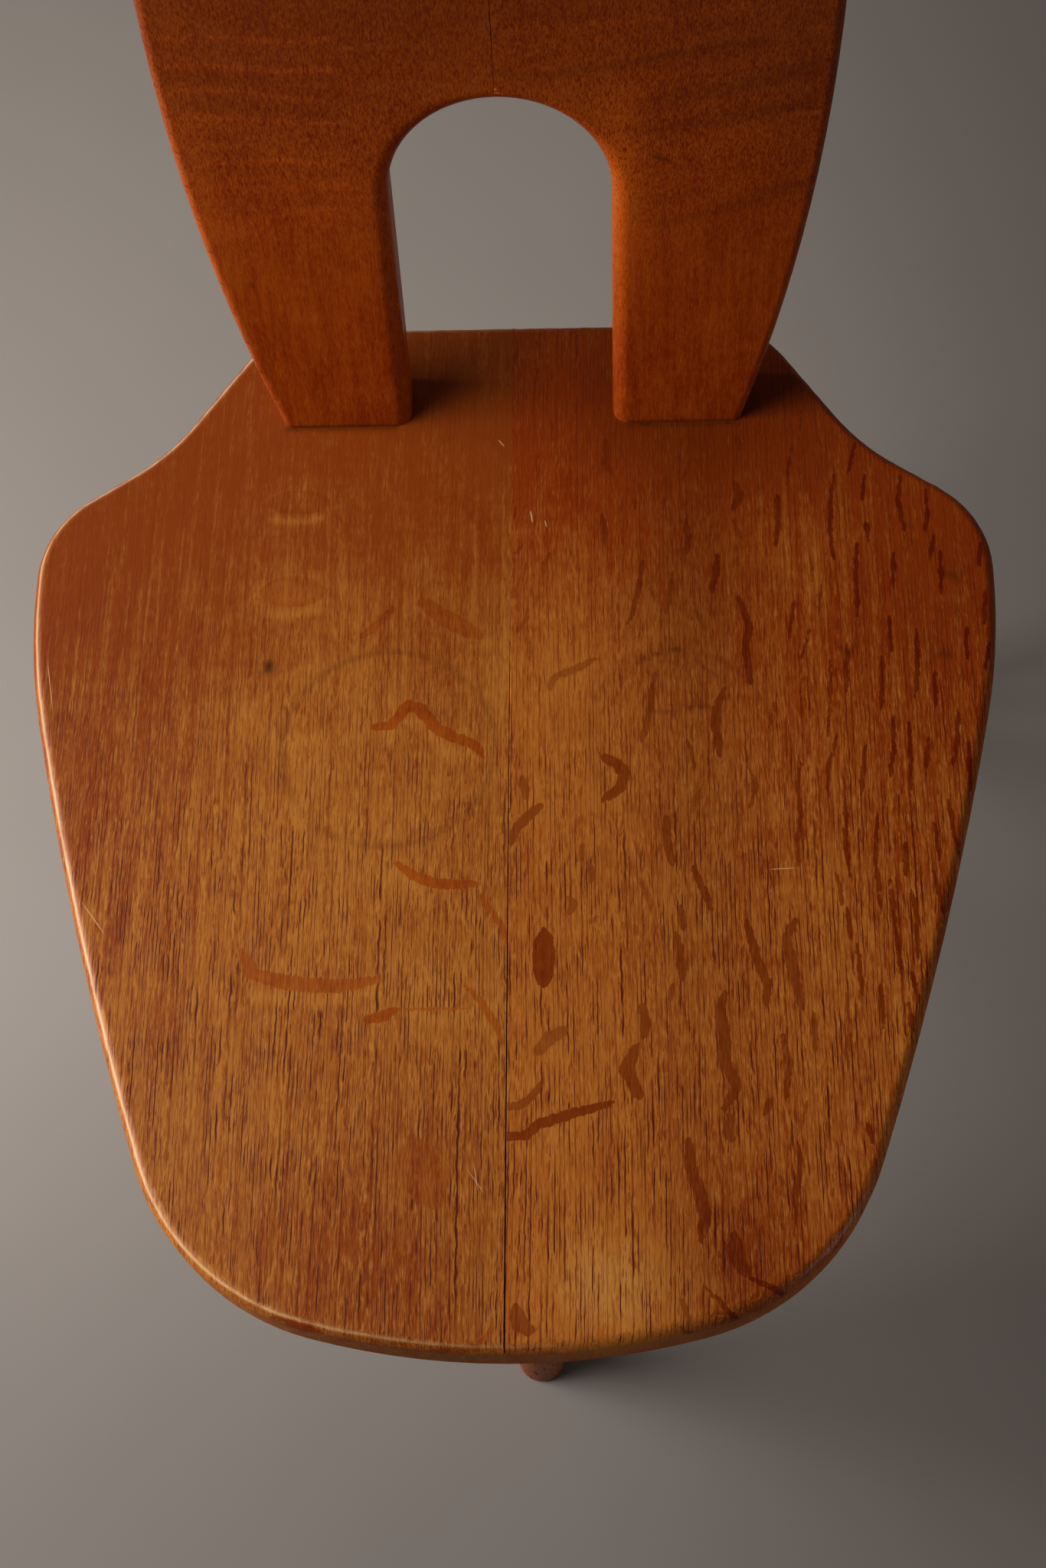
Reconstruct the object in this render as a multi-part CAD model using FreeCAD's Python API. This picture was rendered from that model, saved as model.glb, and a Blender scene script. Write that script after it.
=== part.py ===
import FreeCAD, Part
import math
import os

# A three-legged oak board chair, in millimetres and degrees. X runs across it, Y to the back and Z up.
# Left and right are as seen from the front. Places along Y are counted from the seat's front edge
# until the finished chair is centred over the origin, at floor level.

# Seat
seat_height = 440.0
seat_thickness = 28.0
seat_width = 400.0
seat_depth = 443.0
seat_edge_round = 5.0
nose_radius = 296.0
front_corner_radius = 95.0
flank_radius = 1600.0
hip_radius = 294.0
hip_turn = 12.8
hip_straight = 3.0
shoulder_radius = 46.0
shoulder_angle = 34.3
shoulder_straight = 19.0
shoulder_before_rear = 98.0
waist_radius = 96.0
neck_angle = 33.5
rear_corner_radius = 38.0

# Back
back_thickness = 24.0
back_lean = 13.0
back_before_rear = 52.0
back_height = 345.0
back_width = 254.2
back_widest_height = 214.5
back_side_radius = 806.0
crest_radius = 260.0
crest_corner_radius = 70.0
back_edge_round = 4.0
arch_width = 86.7
arch_height = 161.8
arch_edge_round = 6.5

# Tenons of the back, and the keys that lock them under the rear batten
tenon_side_shoulder = 10.0
tenon_face_shoulder = 4.5
tenon_below_key = 14.0
key_thickness = 10.0
key_length = 54.0
key_thin_end = 9.0
key_thick_end = 16.0
key_draw = 1.5

# Battens dovetailed across the underside of the seat
batten_thickness = 20.0
batten_end_inset = 8.0
batten_edge_bevel = 4.0
front_batten_from_front = 127.0
front_batten_width = 50.0
rear_batten_width = 56.0
dovetail_height = 9.0
dovetail_shoulder = 8.0
dovetail_angle = 12.0

# Legs, and the wedges in their round tenons
foot_diameter = 25.0
foot_edge_round = 2.5
leg_swell_diameter = 38.0
leg_swell_share = 0.7
leg_top_diameter = 34.0
leg_tenon_diameter = 22.0
leg_tenon_shortfall = 0.5
front_foot_from_front = 68.5
rear_foot_behind_seat = 25.0
rear_foot_spacing = 360.0
socket_beside_tenon = 7.0
wedge_length = 24.0
wedge_thick_end = 4.0
wedge_thin_end = 1.2

# Dowels in the two edge joints
dowel_diameter = 8.0
dowel_length = 50.0
dowel_hole_length = 51.0
seat_dowels_from_front = {"front": 62.0, "middle": 200.0, "rear": 300.0}
back_dowel_heights = {"lower": 210.0, "upper": 300.0}

# Fits, and how far a cutting shape runs past what it cuts
mortise_clearance = 0.15
round_clearance = 0.1
overrun = 20.0

# Levels and places that follow
seat_underside = seat_height - seat_thickness
batten_bottom = seat_underside - batten_thickness
dovetail_top = seat_underside + dovetail_height
socket_level = (batten_bottom + dovetail_top) / 2
back_from_front = seat_depth - back_before_rear


def vec(x, y, z=0.0):
    return FreeCAD.Vector(x, y, z)


def heading(degrees):
    """A unit step in the XY plane, turned from +X towards +Y."""
    angle = math.radians(degrees)
    return vec(math.cos(angle), math.sin(angle))


def towards(start, other, distance):
    """The point at a distance from the start on the way to another point."""
    way = other - start
    way.normalize()
    return start + way * distance


def line(start, end):
    return Part.LineSegment(start, end).toShape()


def arc(centre, radius, start, end):
    """The shorter arc about a centre from start to end."""
    middle = towards(centre, (start + end) * 0.5, radius)
    return Part.Arc(start, middle, end).toShape()


def corner_reach(radius, turn):
    """How far from a corner its rounding starts, for the angle by which the outline turns there."""
    return radius * math.tan(math.radians(turn) / 2)


def rounded_corner(before, corner, after, radius):
    """The start, the end and the edge of the arc that rounds a corner."""
    half_angle = (before - corner).getAngle(after - corner) / 2
    start = towards(corner, before, radius / math.tan(half_angle))
    end = towards(corner, after, radius / math.tan(half_angle))
    centre = towards(corner, (start + end) * 0.5, radius / math.sin(half_angle))
    return start, end, arc(centre, radius, start, end)


def circles_meet(centre_a, radius_a, centre_b, radius_b):
    """Where two circles cross, to the left of the way from a to b."""
    way = centre_b - centre_a
    distance = way.Length
    way.normalize()
    forward = (distance ** 2 + radius_a ** 2 - radius_b ** 2) / (2 * distance)
    aside = math.sqrt(radius_a ** 2 - forward ** 2)
    return centre_a + way * forward + vec(-way.y, way.x) * aside


def symmetric_wire(half_edges):
    """A closed outline from the edges of its right half."""
    other_half = [edge.mirror(vec(0, 0), vec(1, 0)) for edge in half_edges]
    return Part.Wire(Part.__sortEdges__(half_edges + other_half))


def middle_of(edge):
    return edge.valueAt((edge.FirstParameter + edge.LastParameter) / 2)


def edges_at_level(shape, level):
    """The edges that lie wholly at one height."""
    found = []
    for edge in shape.Edges:
        points = [vertex.Point for vertex in edge.Vertexes] + [middle_of(edge)]
        if all(abs(point.z - level) < 1e-4 for point in points):
            found.append(edge)
    return found


def whole_reach():
    """A length that spans the whole chair."""
    return seat_width + seat_depth + seat_height + back_height


def slab(low, high):
    """All the space between two heights."""
    reach = whole_reach()
    return Part.makeBox(2 * reach, 2 * reach, high - low, vec(-reach, -reach, low))


def split(whole):
    """The left and the right piece of a solid that is jointed on the centreline."""
    reach = whole_reach()
    right_space = Part.makeBox(reach, 2 * reach, 2 * reach, vec(0, -reach, -reach))
    left = whole.cut(right_space)
    right = whole.common(right_space)
    return {"left": left.Solids[0], "right": right.Solids[0]}


def prism_along_x(profile, low, high):
    """A prism from low to high along X; the profile's points give Y and Z."""
    points = [vec(low, y, z) for y, z in profile]
    face = Part.Face(Part.makePolygon(points + points[:1]))
    return face.extrude(vec(high - low, 0))


def seat_outline():
    """Bowed nose, bowed flanks, rounded shoulders, hollow waist and a straight rear edge."""
    half = seat_width / 2
    shoulder = vec(half, seat_depth - shoulder_before_rear)
    shoulder_reach = corner_reach(shoulder_radius, 90 - shoulder_angle)
    waist_reach = corner_reach(waist_radius, 90 - neck_angle - shoulder_angle)
    slope_length = shoulder_reach + shoulder_straight + waist_reach
    waist = shoulder + heading(180 - shoulder_angle) * slope_length
    neck_length = (seat_depth - waist.y) / math.cos(math.radians(neck_angle))
    rear_corner = waist + heading(90 + neck_angle) * neck_length
    rear_middle = vec(0, seat_depth)

    # Nose, front corner, flank and hip are arcs that run into each other
    hip_top = shoulder - vec(0, shoulder_reach + hip_straight)
    hip_centre = hip_top - vec(hip_radius, 0)
    hip_start = hip_centre + heading(-hip_turn) * hip_radius
    flank_centre = hip_start - heading(-hip_turn) * flank_radius
    nose_centre = vec(0, nose_radius)
    nose_inside = nose_radius - front_corner_radius
    flank_inside = flank_radius - front_corner_radius
    corner_centre = circles_meet(nose_centre, nose_inside, flank_centre, flank_inside)
    nose_end = towards(nose_centre, corner_centre, nose_radius)
    flank_start = towards(flank_centre, corner_centre, flank_radius)

    shoulder_start, shoulder_end, shoulder_arc = rounded_corner(hip_top, shoulder, waist, shoulder_radius)
    waist_start, waist_end, waist_arc = rounded_corner(shoulder, waist, rear_corner, waist_radius)
    rear_start, rear_end, rear_arc = rounded_corner(waist, rear_corner, rear_middle, rear_corner_radius)
    return symmetric_wire([
        arc(nose_centre, nose_radius, vec(0, 0), nose_end),
        arc(corner_centre, front_corner_radius, nose_end, flank_start),
        arc(flank_centre, flank_radius, flank_start, hip_start),
        arc(hip_centre, hip_radius, hip_start, hip_top),
        line(hip_top, shoulder_start),
        shoulder_arc,
        line(shoulder_end, waist_start),
        waist_arc,
        line(waist_end, rear_start),
        rear_arc,
        line(rear_end, rear_middle),
    ])


def seat_blank():
    """The whole seat with its round edges, before the joinery."""
    face = Part.Face(seat_outline())
    face.translate(vec(0, 0, seat_underside))
    blank = face.extrude(vec(0, 0, seat_thickness))
    rims = edges_at_level(blank, seat_underside) + edges_at_level(blank, seat_height)
    return blank.makeFillet(seat_edge_round, rims)


def back_half_width(height):
    """Half the width of the back at a height along it, below its widest place."""
    side_centre_x = back_width / 2 - back_side_radius
    return side_centre_x + math.sqrt(back_side_radius ** 2 - (back_widest_height - height) ** 2)


def back_outline():
    """The back as a flat board: X across it, Y up along its front face from the seat."""
    side_centre = vec(back_width / 2 - back_side_radius, back_widest_height)
    crest_centre = vec(0, back_height - crest_radius)
    side_inside = back_side_radius - crest_corner_radius
    crest_inside = crest_radius - crest_corner_radius
    corner_centre = circles_meet(side_centre, side_inside, crest_centre, crest_inside)
    side_end = towards(side_centre, corner_centre, back_side_radius)
    crest_end = towards(crest_centre, corner_centre, crest_radius)
    arch_radius = arch_width / 2
    arch_centre = vec(0, arch_height - arch_radius)
    arch_start = vec(arch_radius, arch_centre.y)
    prong_inner = vec(arch_radius, -overrun)
    prong_outer = vec(back_half_width(-overrun), -overrun)
    return symmetric_wire([
        arc(crest_centre, crest_radius, vec(0, back_height), crest_end),
        arc(corner_centre, crest_corner_radius, crest_end, side_end),
        arc(side_centre, back_side_radius, side_end, prong_outer),
        line(prong_outer, prong_inner),
        line(prong_inner, arch_start),
        arc(arch_centre, arch_radius, arch_start, vec(0, arch_height)),
    ])


def back_rims(board, round_arch):
    """The edges of both faces of the flat back, round the arch or else round the outside."""
    found = []
    for edge in edges_at_level(board, 0) + edges_at_level(board, -back_thickness):
        middle = middle_of(edge)
        on_arch = abs(middle.x) < arch_width / 2 + 1e-3 and middle.y < arch_height + 1e-3
        prong_end = abs(middle.y + overrun) < 1e-3
        if on_arch == round_arch and not prong_end:
            found.append(edge)
    return found


def stand_up(flat_shape):
    """Turn what is drawn on the flat back to the back's lean, and set it on the seat."""
    flat_shape.rotate(vec(0, 0), vec(1, 0), 90 - back_lean)
    flat_shape.translate(vec(0, back_from_front, seat_height))
    return flat_shape


def back_blank():
    """The whole back with its round edges, its prongs cut off level where they stand on the seat."""
    board = Part.Face(back_outline()).extrude(vec(0, 0, -back_thickness))
    board = board.makeFillet(back_edge_round, back_rims(board, False))
    board = board.makeFillet(arch_edge_round, back_rims(board, True))
    return stand_up(board).common(slab(seat_height, whole_reach()))


def back_tenon(side, clearance=0.0):
    """The straight tenon under the prong on one side, 1 or -1, or its mortise with a clearance."""
    inner = arch_width / 2 + tenon_side_shoulder - clearance
    outer = back_half_width(0) - tenon_side_shoulder + clearance
    face = tenon_face_shoulder - clearance
    key_bottom = batten_bottom - key_thick_end
    depth = (seat_height - key_bottom) / math.cos(math.radians(back_lean)) + tenon_below_key
    low_x = min(side * inner, side * outer)
    corner = vec(low_x, -depth, face - back_thickness)
    tenon = Part.makeBox(outer - inner, depth + overrun / 2, back_thickness - 2 * face, corner)
    return stand_up(tenon)


def tenon_middle_x():
    return (arch_width / 2 + back_half_width(0)) / 2


def tenon_middle_y(level):
    """Where the middle plane of the back crosses a level under the seat."""
    lean = math.radians(back_lean)
    along = (level - seat_height + back_thickness / 2 * math.sin(lean)) / math.cos(lean)
    return back_from_front + along * math.sin(lean) + back_thickness / 2 * math.cos(lean)


def back_key(side, draw=0.0, clearance=0.0):
    """The tapered key through one tenon, bearing on the rear batten, or its slot."""
    thin_y = tenon_middle_y(batten_bottom) - key_length / 2
    thick_y = thin_y + key_length
    top = batten_bottom + draw
    profile = [
        (thin_y, top),
        (thick_y, top),
        (thick_y, batten_bottom - key_thick_end),
        (thin_y, batten_bottom - key_thin_end),
    ]
    middle = side * tenon_middle_x()
    half = key_thickness / 2 + clearance
    return prism_along_x(profile, middle - half, middle + half)


def dovetail_profile(from_front, width, clearance=0.0):
    """The dovetail of a batten in section, from its neck up to its top."""
    neck = width / 2 - dovetail_shoulder + clearance
    top = neck + dovetail_height * math.tan(math.radians(dovetail_angle))
    return [
        (from_front - neck, seat_underside),
        (from_front - top, dovetail_top),
        (from_front + top, dovetail_top),
        (from_front + neck, seat_underside),
    ]


def batten(from_front, width):
    """A cross batten, its bevelled ends set in from the seat's outline."""
    body = [
        (from_front + width / 2, seat_underside),
        (from_front + width / 2, batten_bottom),
        (from_front - width / 2, batten_bottom),
        (from_front - width / 2, seat_underside),
    ]
    bar = prism_along_x(dovetail_profile(from_front, width) + body, -seat_width, seat_width)
    inset = Part.Face(seat_outline()).makeOffset2D(-batten_end_inset)
    inset.translate(vec(0, 0, batten_bottom))
    trimmed = bar.common(inset.extrude(vec(0, 0, dovetail_top - batten_bottom))).Solids[0]
    return trimmed.makeChamfer(batten_edge_bevel, edges_at_level(trimmed, batten_bottom))


def batten_groove(from_front, width):
    """The dovetail groove, open at both sides of the seat."""
    profile = dovetail_profile(from_front, width, mortise_clearance)
    return prism_along_x(profile, -seat_width, seat_width)


class Leg:
    """A turned leg between its foot on the floor and its socket in a batten."""

    def __init__(self, foot_x, foot_y, socket_x, socket_y):
        foot = vec(foot_x, foot_y)
        self.axis = vec(socket_x, socket_y, socket_level) - foot
        self.axis.normalize()
        self.placement = FreeCAD.Placement(foot, FreeCAD.Rotation(vec(0, 0, 1), self.axis))
        self.shoulder_at = batten_bottom / self.axis.z
        self.top_level = dovetail_top - leg_tenon_shortfall
        self.top_at = self.top_level / self.axis.z

    def placed(self, shape):
        shape.Placement = self.placement
        return shape

    def round_bar(self, radius):
        """A round bar along the leg's axis, from inside its swell to past the top."""
        length = self.top_at - self.shoulder_at + 2 * overrun
        start = vec(0, 0, self.shoulder_at - overrun)
        bar = Part.makeCylinder(radius, length, start)
        return self.placed(Part.Compound([bar])).Solids[0]

    def tenon(self):
        return self.round_bar(leg_tenon_diameter / 2).common(slab(0, self.top_level))

    def hole(self):
        return self.round_bar(leg_tenon_diameter / 2 + round_clearance)

    def wedge_space(self):
        """A tapered slice across the tenon, thickest at the top, across the grain of the batten."""
        growth = (wedge_thick_end - wedge_thin_end) / 2 / wedge_length
        low = self.top_at - wedge_length
        high = self.top_at + overrun
        half_low = wedge_thin_end / 2
        half_high = wedge_thick_end / 2 + growth * overrun
        across = leg_tenon_diameter
        corners = [
            vec(-half_low, -across, low),
            vec(half_low, -across, low),
            vec(half_high, -across, high),
            vec(-half_high, -across, high),
        ]
        face = Part.Face(Part.makePolygon(corners + corners[:1]))
        return self.placed(Part.Compound([face.extrude(vec(0, 2 * across))])).Solids[0]

    def wedge(self):
        return self.wedge_space().common(self.tenon()).Solids[0]

    def turned_body(self):
        """The swelling round body, cut off level at the floor and at the batten."""
        foot = vec(foot_diameter / 2, 0, 0)
        swell = vec(leg_swell_diameter / 2, 0, self.shoulder_at * leg_swell_share)
        top = vec(leg_top_diameter / 2, 0, self.shoulder_at)
        circle = Part.Circle(foot, swell, top)

        def at(height):
            radius = circle.Center.x + math.sqrt(circle.Radius ** 2 - (height - circle.Center.z) ** 2)
            return vec(radius, 0, height)

        low = at(-overrun)
        high = at(self.shoulder_at + overrun)
        profile = Part.Wire([
            Part.Arc(low, swell, high).toShape(),
            line(high, vec(0, 0, high.z)),
            line(vec(0, 0, high.z), vec(0, 0, low.z)),
            line(vec(0, 0, low.z), low),
        ])
        turned = Part.Face(profile).revolve(vec(0, 0), vec(0, 0, 1), 360)
        body = self.placed(Part.Compound([turned])).common(slab(0, batten_bottom)).Solids[0]
        return body.makeFillet(foot_edge_round, edges_at_level(body, 0))

    def solid(self):
        return self.turned_body().fuse(self.tenon()).cut(self.wedge_space()).Solids[0]


def dowel(middle, diameter, length):
    """A dowel across the centreline."""
    return Part.makeCylinder(diameter / 2, length, middle - vec(length / 2, 0), vec(1, 0))


def chair():
    """Every piece of the chair by name."""
    sides = {"left": -1, "right": 1}
    rear_batten_from_front = tenon_middle_y(socket_level)
    tenon_outer = back_half_width(0) - tenon_side_shoulder
    rear_socket_x = tenon_outer + socket_beside_tenon + leg_tenon_diameter / 2
    rear_foot_from_front = seat_depth + rear_foot_behind_seat
    front_leg = Leg(0, front_foot_from_front, 0, front_batten_from_front)
    rear_legs = {}
    for side, sign in sides.items():
        foot_x = sign * rear_foot_spacing / 2
        rear_legs[side] = Leg(foot_x, rear_foot_from_front, sign * rear_socket_x, rear_batten_from_front)

    seat = seat_blank()
    seat = seat.cut(batten_groove(front_batten_from_front, front_batten_width))
    seat = seat.cut(batten_groove(rear_batten_from_front, rear_batten_width))
    front_batten = batten(front_batten_from_front, front_batten_width).cut(front_leg.hole())
    rear_batten = batten(rear_batten_from_front, rear_batten_width)
    for side, sign in sides.items():
        mortise = back_tenon(sign, mortise_clearance)
        seat = seat.cut(mortise)
        rear_batten = rear_batten.cut(mortise).cut(rear_legs[side].hole())

    pieces = {}
    hole_diameter = dowel_diameter + 2 * round_clearance
    for place, from_front in seat_dowels_from_front.items():
        middle = vec(0, from_front, seat_height - seat_thickness / 2)
        seat = seat.cut(dowel(middle, hole_diameter, dowel_hole_length))
        pieces["seat_dowel_" + place] = dowel(middle, dowel_diameter, dowel_length)
    back = back_blank()
    for place, height in back_dowel_heights.items():
        middle = vec(0, height, -back_thickness / 2)
        back = back.cut(stand_up(dowel(middle, hole_diameter, dowel_hole_length)))
        pieces["back_dowel_" + place] = stand_up(dowel(middle, dowel_diameter, dowel_length))

    for side, board in split(seat).items():
        pieces["seat_board_" + side] = board
    for side, board in split(back).items():
        tenoned = board.fuse(back_tenon(sides[side]))
        slot = back_key(sides[side], key_draw, mortise_clearance)
        pieces["back_board_" + side] = tenoned.cut(slot).Solids[0]
        pieces["back_key_" + side] = back_key(sides[side])
    pieces["front_batten"] = front_batten.Solids[0]
    pieces["rear_batten"] = rear_batten.Solids[0]
    pieces["front_leg"] = front_leg.solid()
    pieces["front_leg_wedge"] = front_leg.wedge()
    for side, leg in rear_legs.items():
        pieces["rear_leg_" + side] = leg.solid()
        pieces["rear_leg_wedge_" + side] = leg.wedge()
    return pieces


def centre_over_origin(pieces):
    """Move the chair so that the middle of its depth stands over the origin."""
    box = FreeCAD.BoundBox()
    for solid in pieces.values():
        box.add(solid.optimalBoundingBox(False))
    for solid in pieces.values():
        solid.translate(vec(0, -box.Center.y))


parts = chair()
centre_over_origin(parts)
os.makedirs("parts", exist_ok=True)
for name, solid in parts.items():
    solid.exportStep("parts/" + name + ".step")
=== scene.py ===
import math
from collections import namedtuple

import bmesh
import bpy
import numpy as np
from mathutils import Matrix, Vector, noise


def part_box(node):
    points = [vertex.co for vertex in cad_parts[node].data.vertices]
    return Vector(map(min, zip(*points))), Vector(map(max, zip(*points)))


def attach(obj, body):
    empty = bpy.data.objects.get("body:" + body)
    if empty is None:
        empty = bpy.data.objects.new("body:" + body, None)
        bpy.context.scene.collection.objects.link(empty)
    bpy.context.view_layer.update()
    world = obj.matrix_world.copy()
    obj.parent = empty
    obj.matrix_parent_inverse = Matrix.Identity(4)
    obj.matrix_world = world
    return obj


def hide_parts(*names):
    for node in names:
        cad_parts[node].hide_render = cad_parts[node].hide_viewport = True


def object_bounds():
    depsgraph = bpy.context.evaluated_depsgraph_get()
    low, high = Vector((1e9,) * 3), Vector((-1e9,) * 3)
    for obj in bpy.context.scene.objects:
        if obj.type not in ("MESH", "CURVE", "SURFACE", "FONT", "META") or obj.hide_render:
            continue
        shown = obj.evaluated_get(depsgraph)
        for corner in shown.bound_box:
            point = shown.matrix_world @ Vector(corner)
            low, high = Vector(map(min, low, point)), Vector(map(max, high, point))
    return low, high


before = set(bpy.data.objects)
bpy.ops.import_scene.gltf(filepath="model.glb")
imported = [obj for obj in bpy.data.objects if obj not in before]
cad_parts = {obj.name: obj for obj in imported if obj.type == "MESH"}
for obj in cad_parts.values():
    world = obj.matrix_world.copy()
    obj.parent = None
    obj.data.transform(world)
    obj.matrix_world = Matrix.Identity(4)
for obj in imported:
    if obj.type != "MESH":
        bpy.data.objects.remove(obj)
cad_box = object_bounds()

# Blender works in metres. Sizes and places below are in millimetres and angles in degrees, in the chair's own
# frame: X across it, Y to the back, Z up from the floor.
MM = 0.001
TO_THE_RIGHT = Vector((1, 0, 0))
TO_THE_BACK = Vector((0, 1, 0))
UP = Vector((0, 0, 1))

CAMERA_PLACE = (37.75, -374.5, 1231.56)
CAMERA_BELOW_HORIZON = 66.0
CAMERA_TO_THE_LEFT = 5.236
CAMERA_ROLL = -5.4
CAMERA_LENS = 50.0
CAMERA_LONG_SIDE = 36.0

# The seat's top, and the back's lean, its foot on the seat and its own directions
SEAT_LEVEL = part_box("seat_board_left")[1].z / MM
BACK_LEAN = 13.0
BACK_FOOT = 145.4
BACK_UP = Vector((0, math.sin(math.radians(BACK_LEAN)), math.cos(math.radians(BACK_LEAN))))
BACK_FRONT = Vector((0, -BACK_UP.z, BACK_UP.y))


def srgb(red, green, blue):
    """A paint-chart colour, 0 to 255, as the linear colour that shaders take."""
    chart = np.array([red, green, blue]) / 255
    linear = np.where(chart <= 0.04045, chart / 12.92, ((chart + 0.055) / 1.055) ** 2.4)
    return (*linear, 1.0)


# Wood finishes

ALONG_Y = (0, 0, 0)
ALONG_Z = (90, 0, 0)
ALONG_X = (0, 0, -90)
UP_THE_BACK = (90.0 - BACK_LEAN, 0, 0)

# A pattern in the wood: its size across the grain, along it and into the wood, how finely and roughly it is
# broken up, and how far it swings the tone between the wood's two colours
Pattern = namedtuple("Pattern", "across along thick detail roughness swing", defaults=[0.0])

# How fibres wander: how far to each side, and over what size across the grain and along it
Wander = namedtuple("Wander", "sway across along")

# Rows of pores: their spacing, each pore's width and length, and the share of a row that pores cover
PoreRows = namedtuple("PoreRows", "spacing width length cover")

# The two colours of a stained wood
Stain = namedtuple("Stain", "golden russet")

# Pores are cut out of a noise. Their reach and their soft edge are shares of their width.
PORE_ROW_JUMP = 7.31
PORE_LEVEL_BARE = 0.68
PORE_LEVEL_RANGE = 0.36
PORE_END = (-0.04, 0.14)
PORE_REACH = (-0.35, 0.55)
PORE_SOFT_EDGE = 0.3
PORE_HEART = (0.65, 1, 0, 0.6)

# A scratch tapers and fades by these shares of its length and width
SCRATCH_TAPER = (0.2, 0.5)
SCRATCH_EDGE = (0.1, 0.5)

PALE_STREAK = srgb(184, 122, 56)
PORE_BROWN = srgb(44, 15, 3)
PORE_TINT = (0.38, 0.12, 0.03, 1)
DASH_TINT = (0.6, 0.26, 0.06, 1)
RAY_GOLD = srgb(196, 112, 44)
# Orange of the pale ray lines on the back, and of a painted highlight on its arch's inner edge
RAY_AND_HIGHLIGHT_ORANGE = srgb(178, 82, 22)
# Cream of the pale line along the left rim: partly wear, partly a painted highlight
RIM_WEAR_AND_HIGHLIGHT_GOLD = srgb(206, 158, 108)
# Brown for the dark marks: stains and patina, and also painted shade and painted contact shadows
SOIL_AND_SHADE_BROWN = srgb(60, 22, 2)
SCRATCH_TAN = srgb(214, 170, 116)


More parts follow.
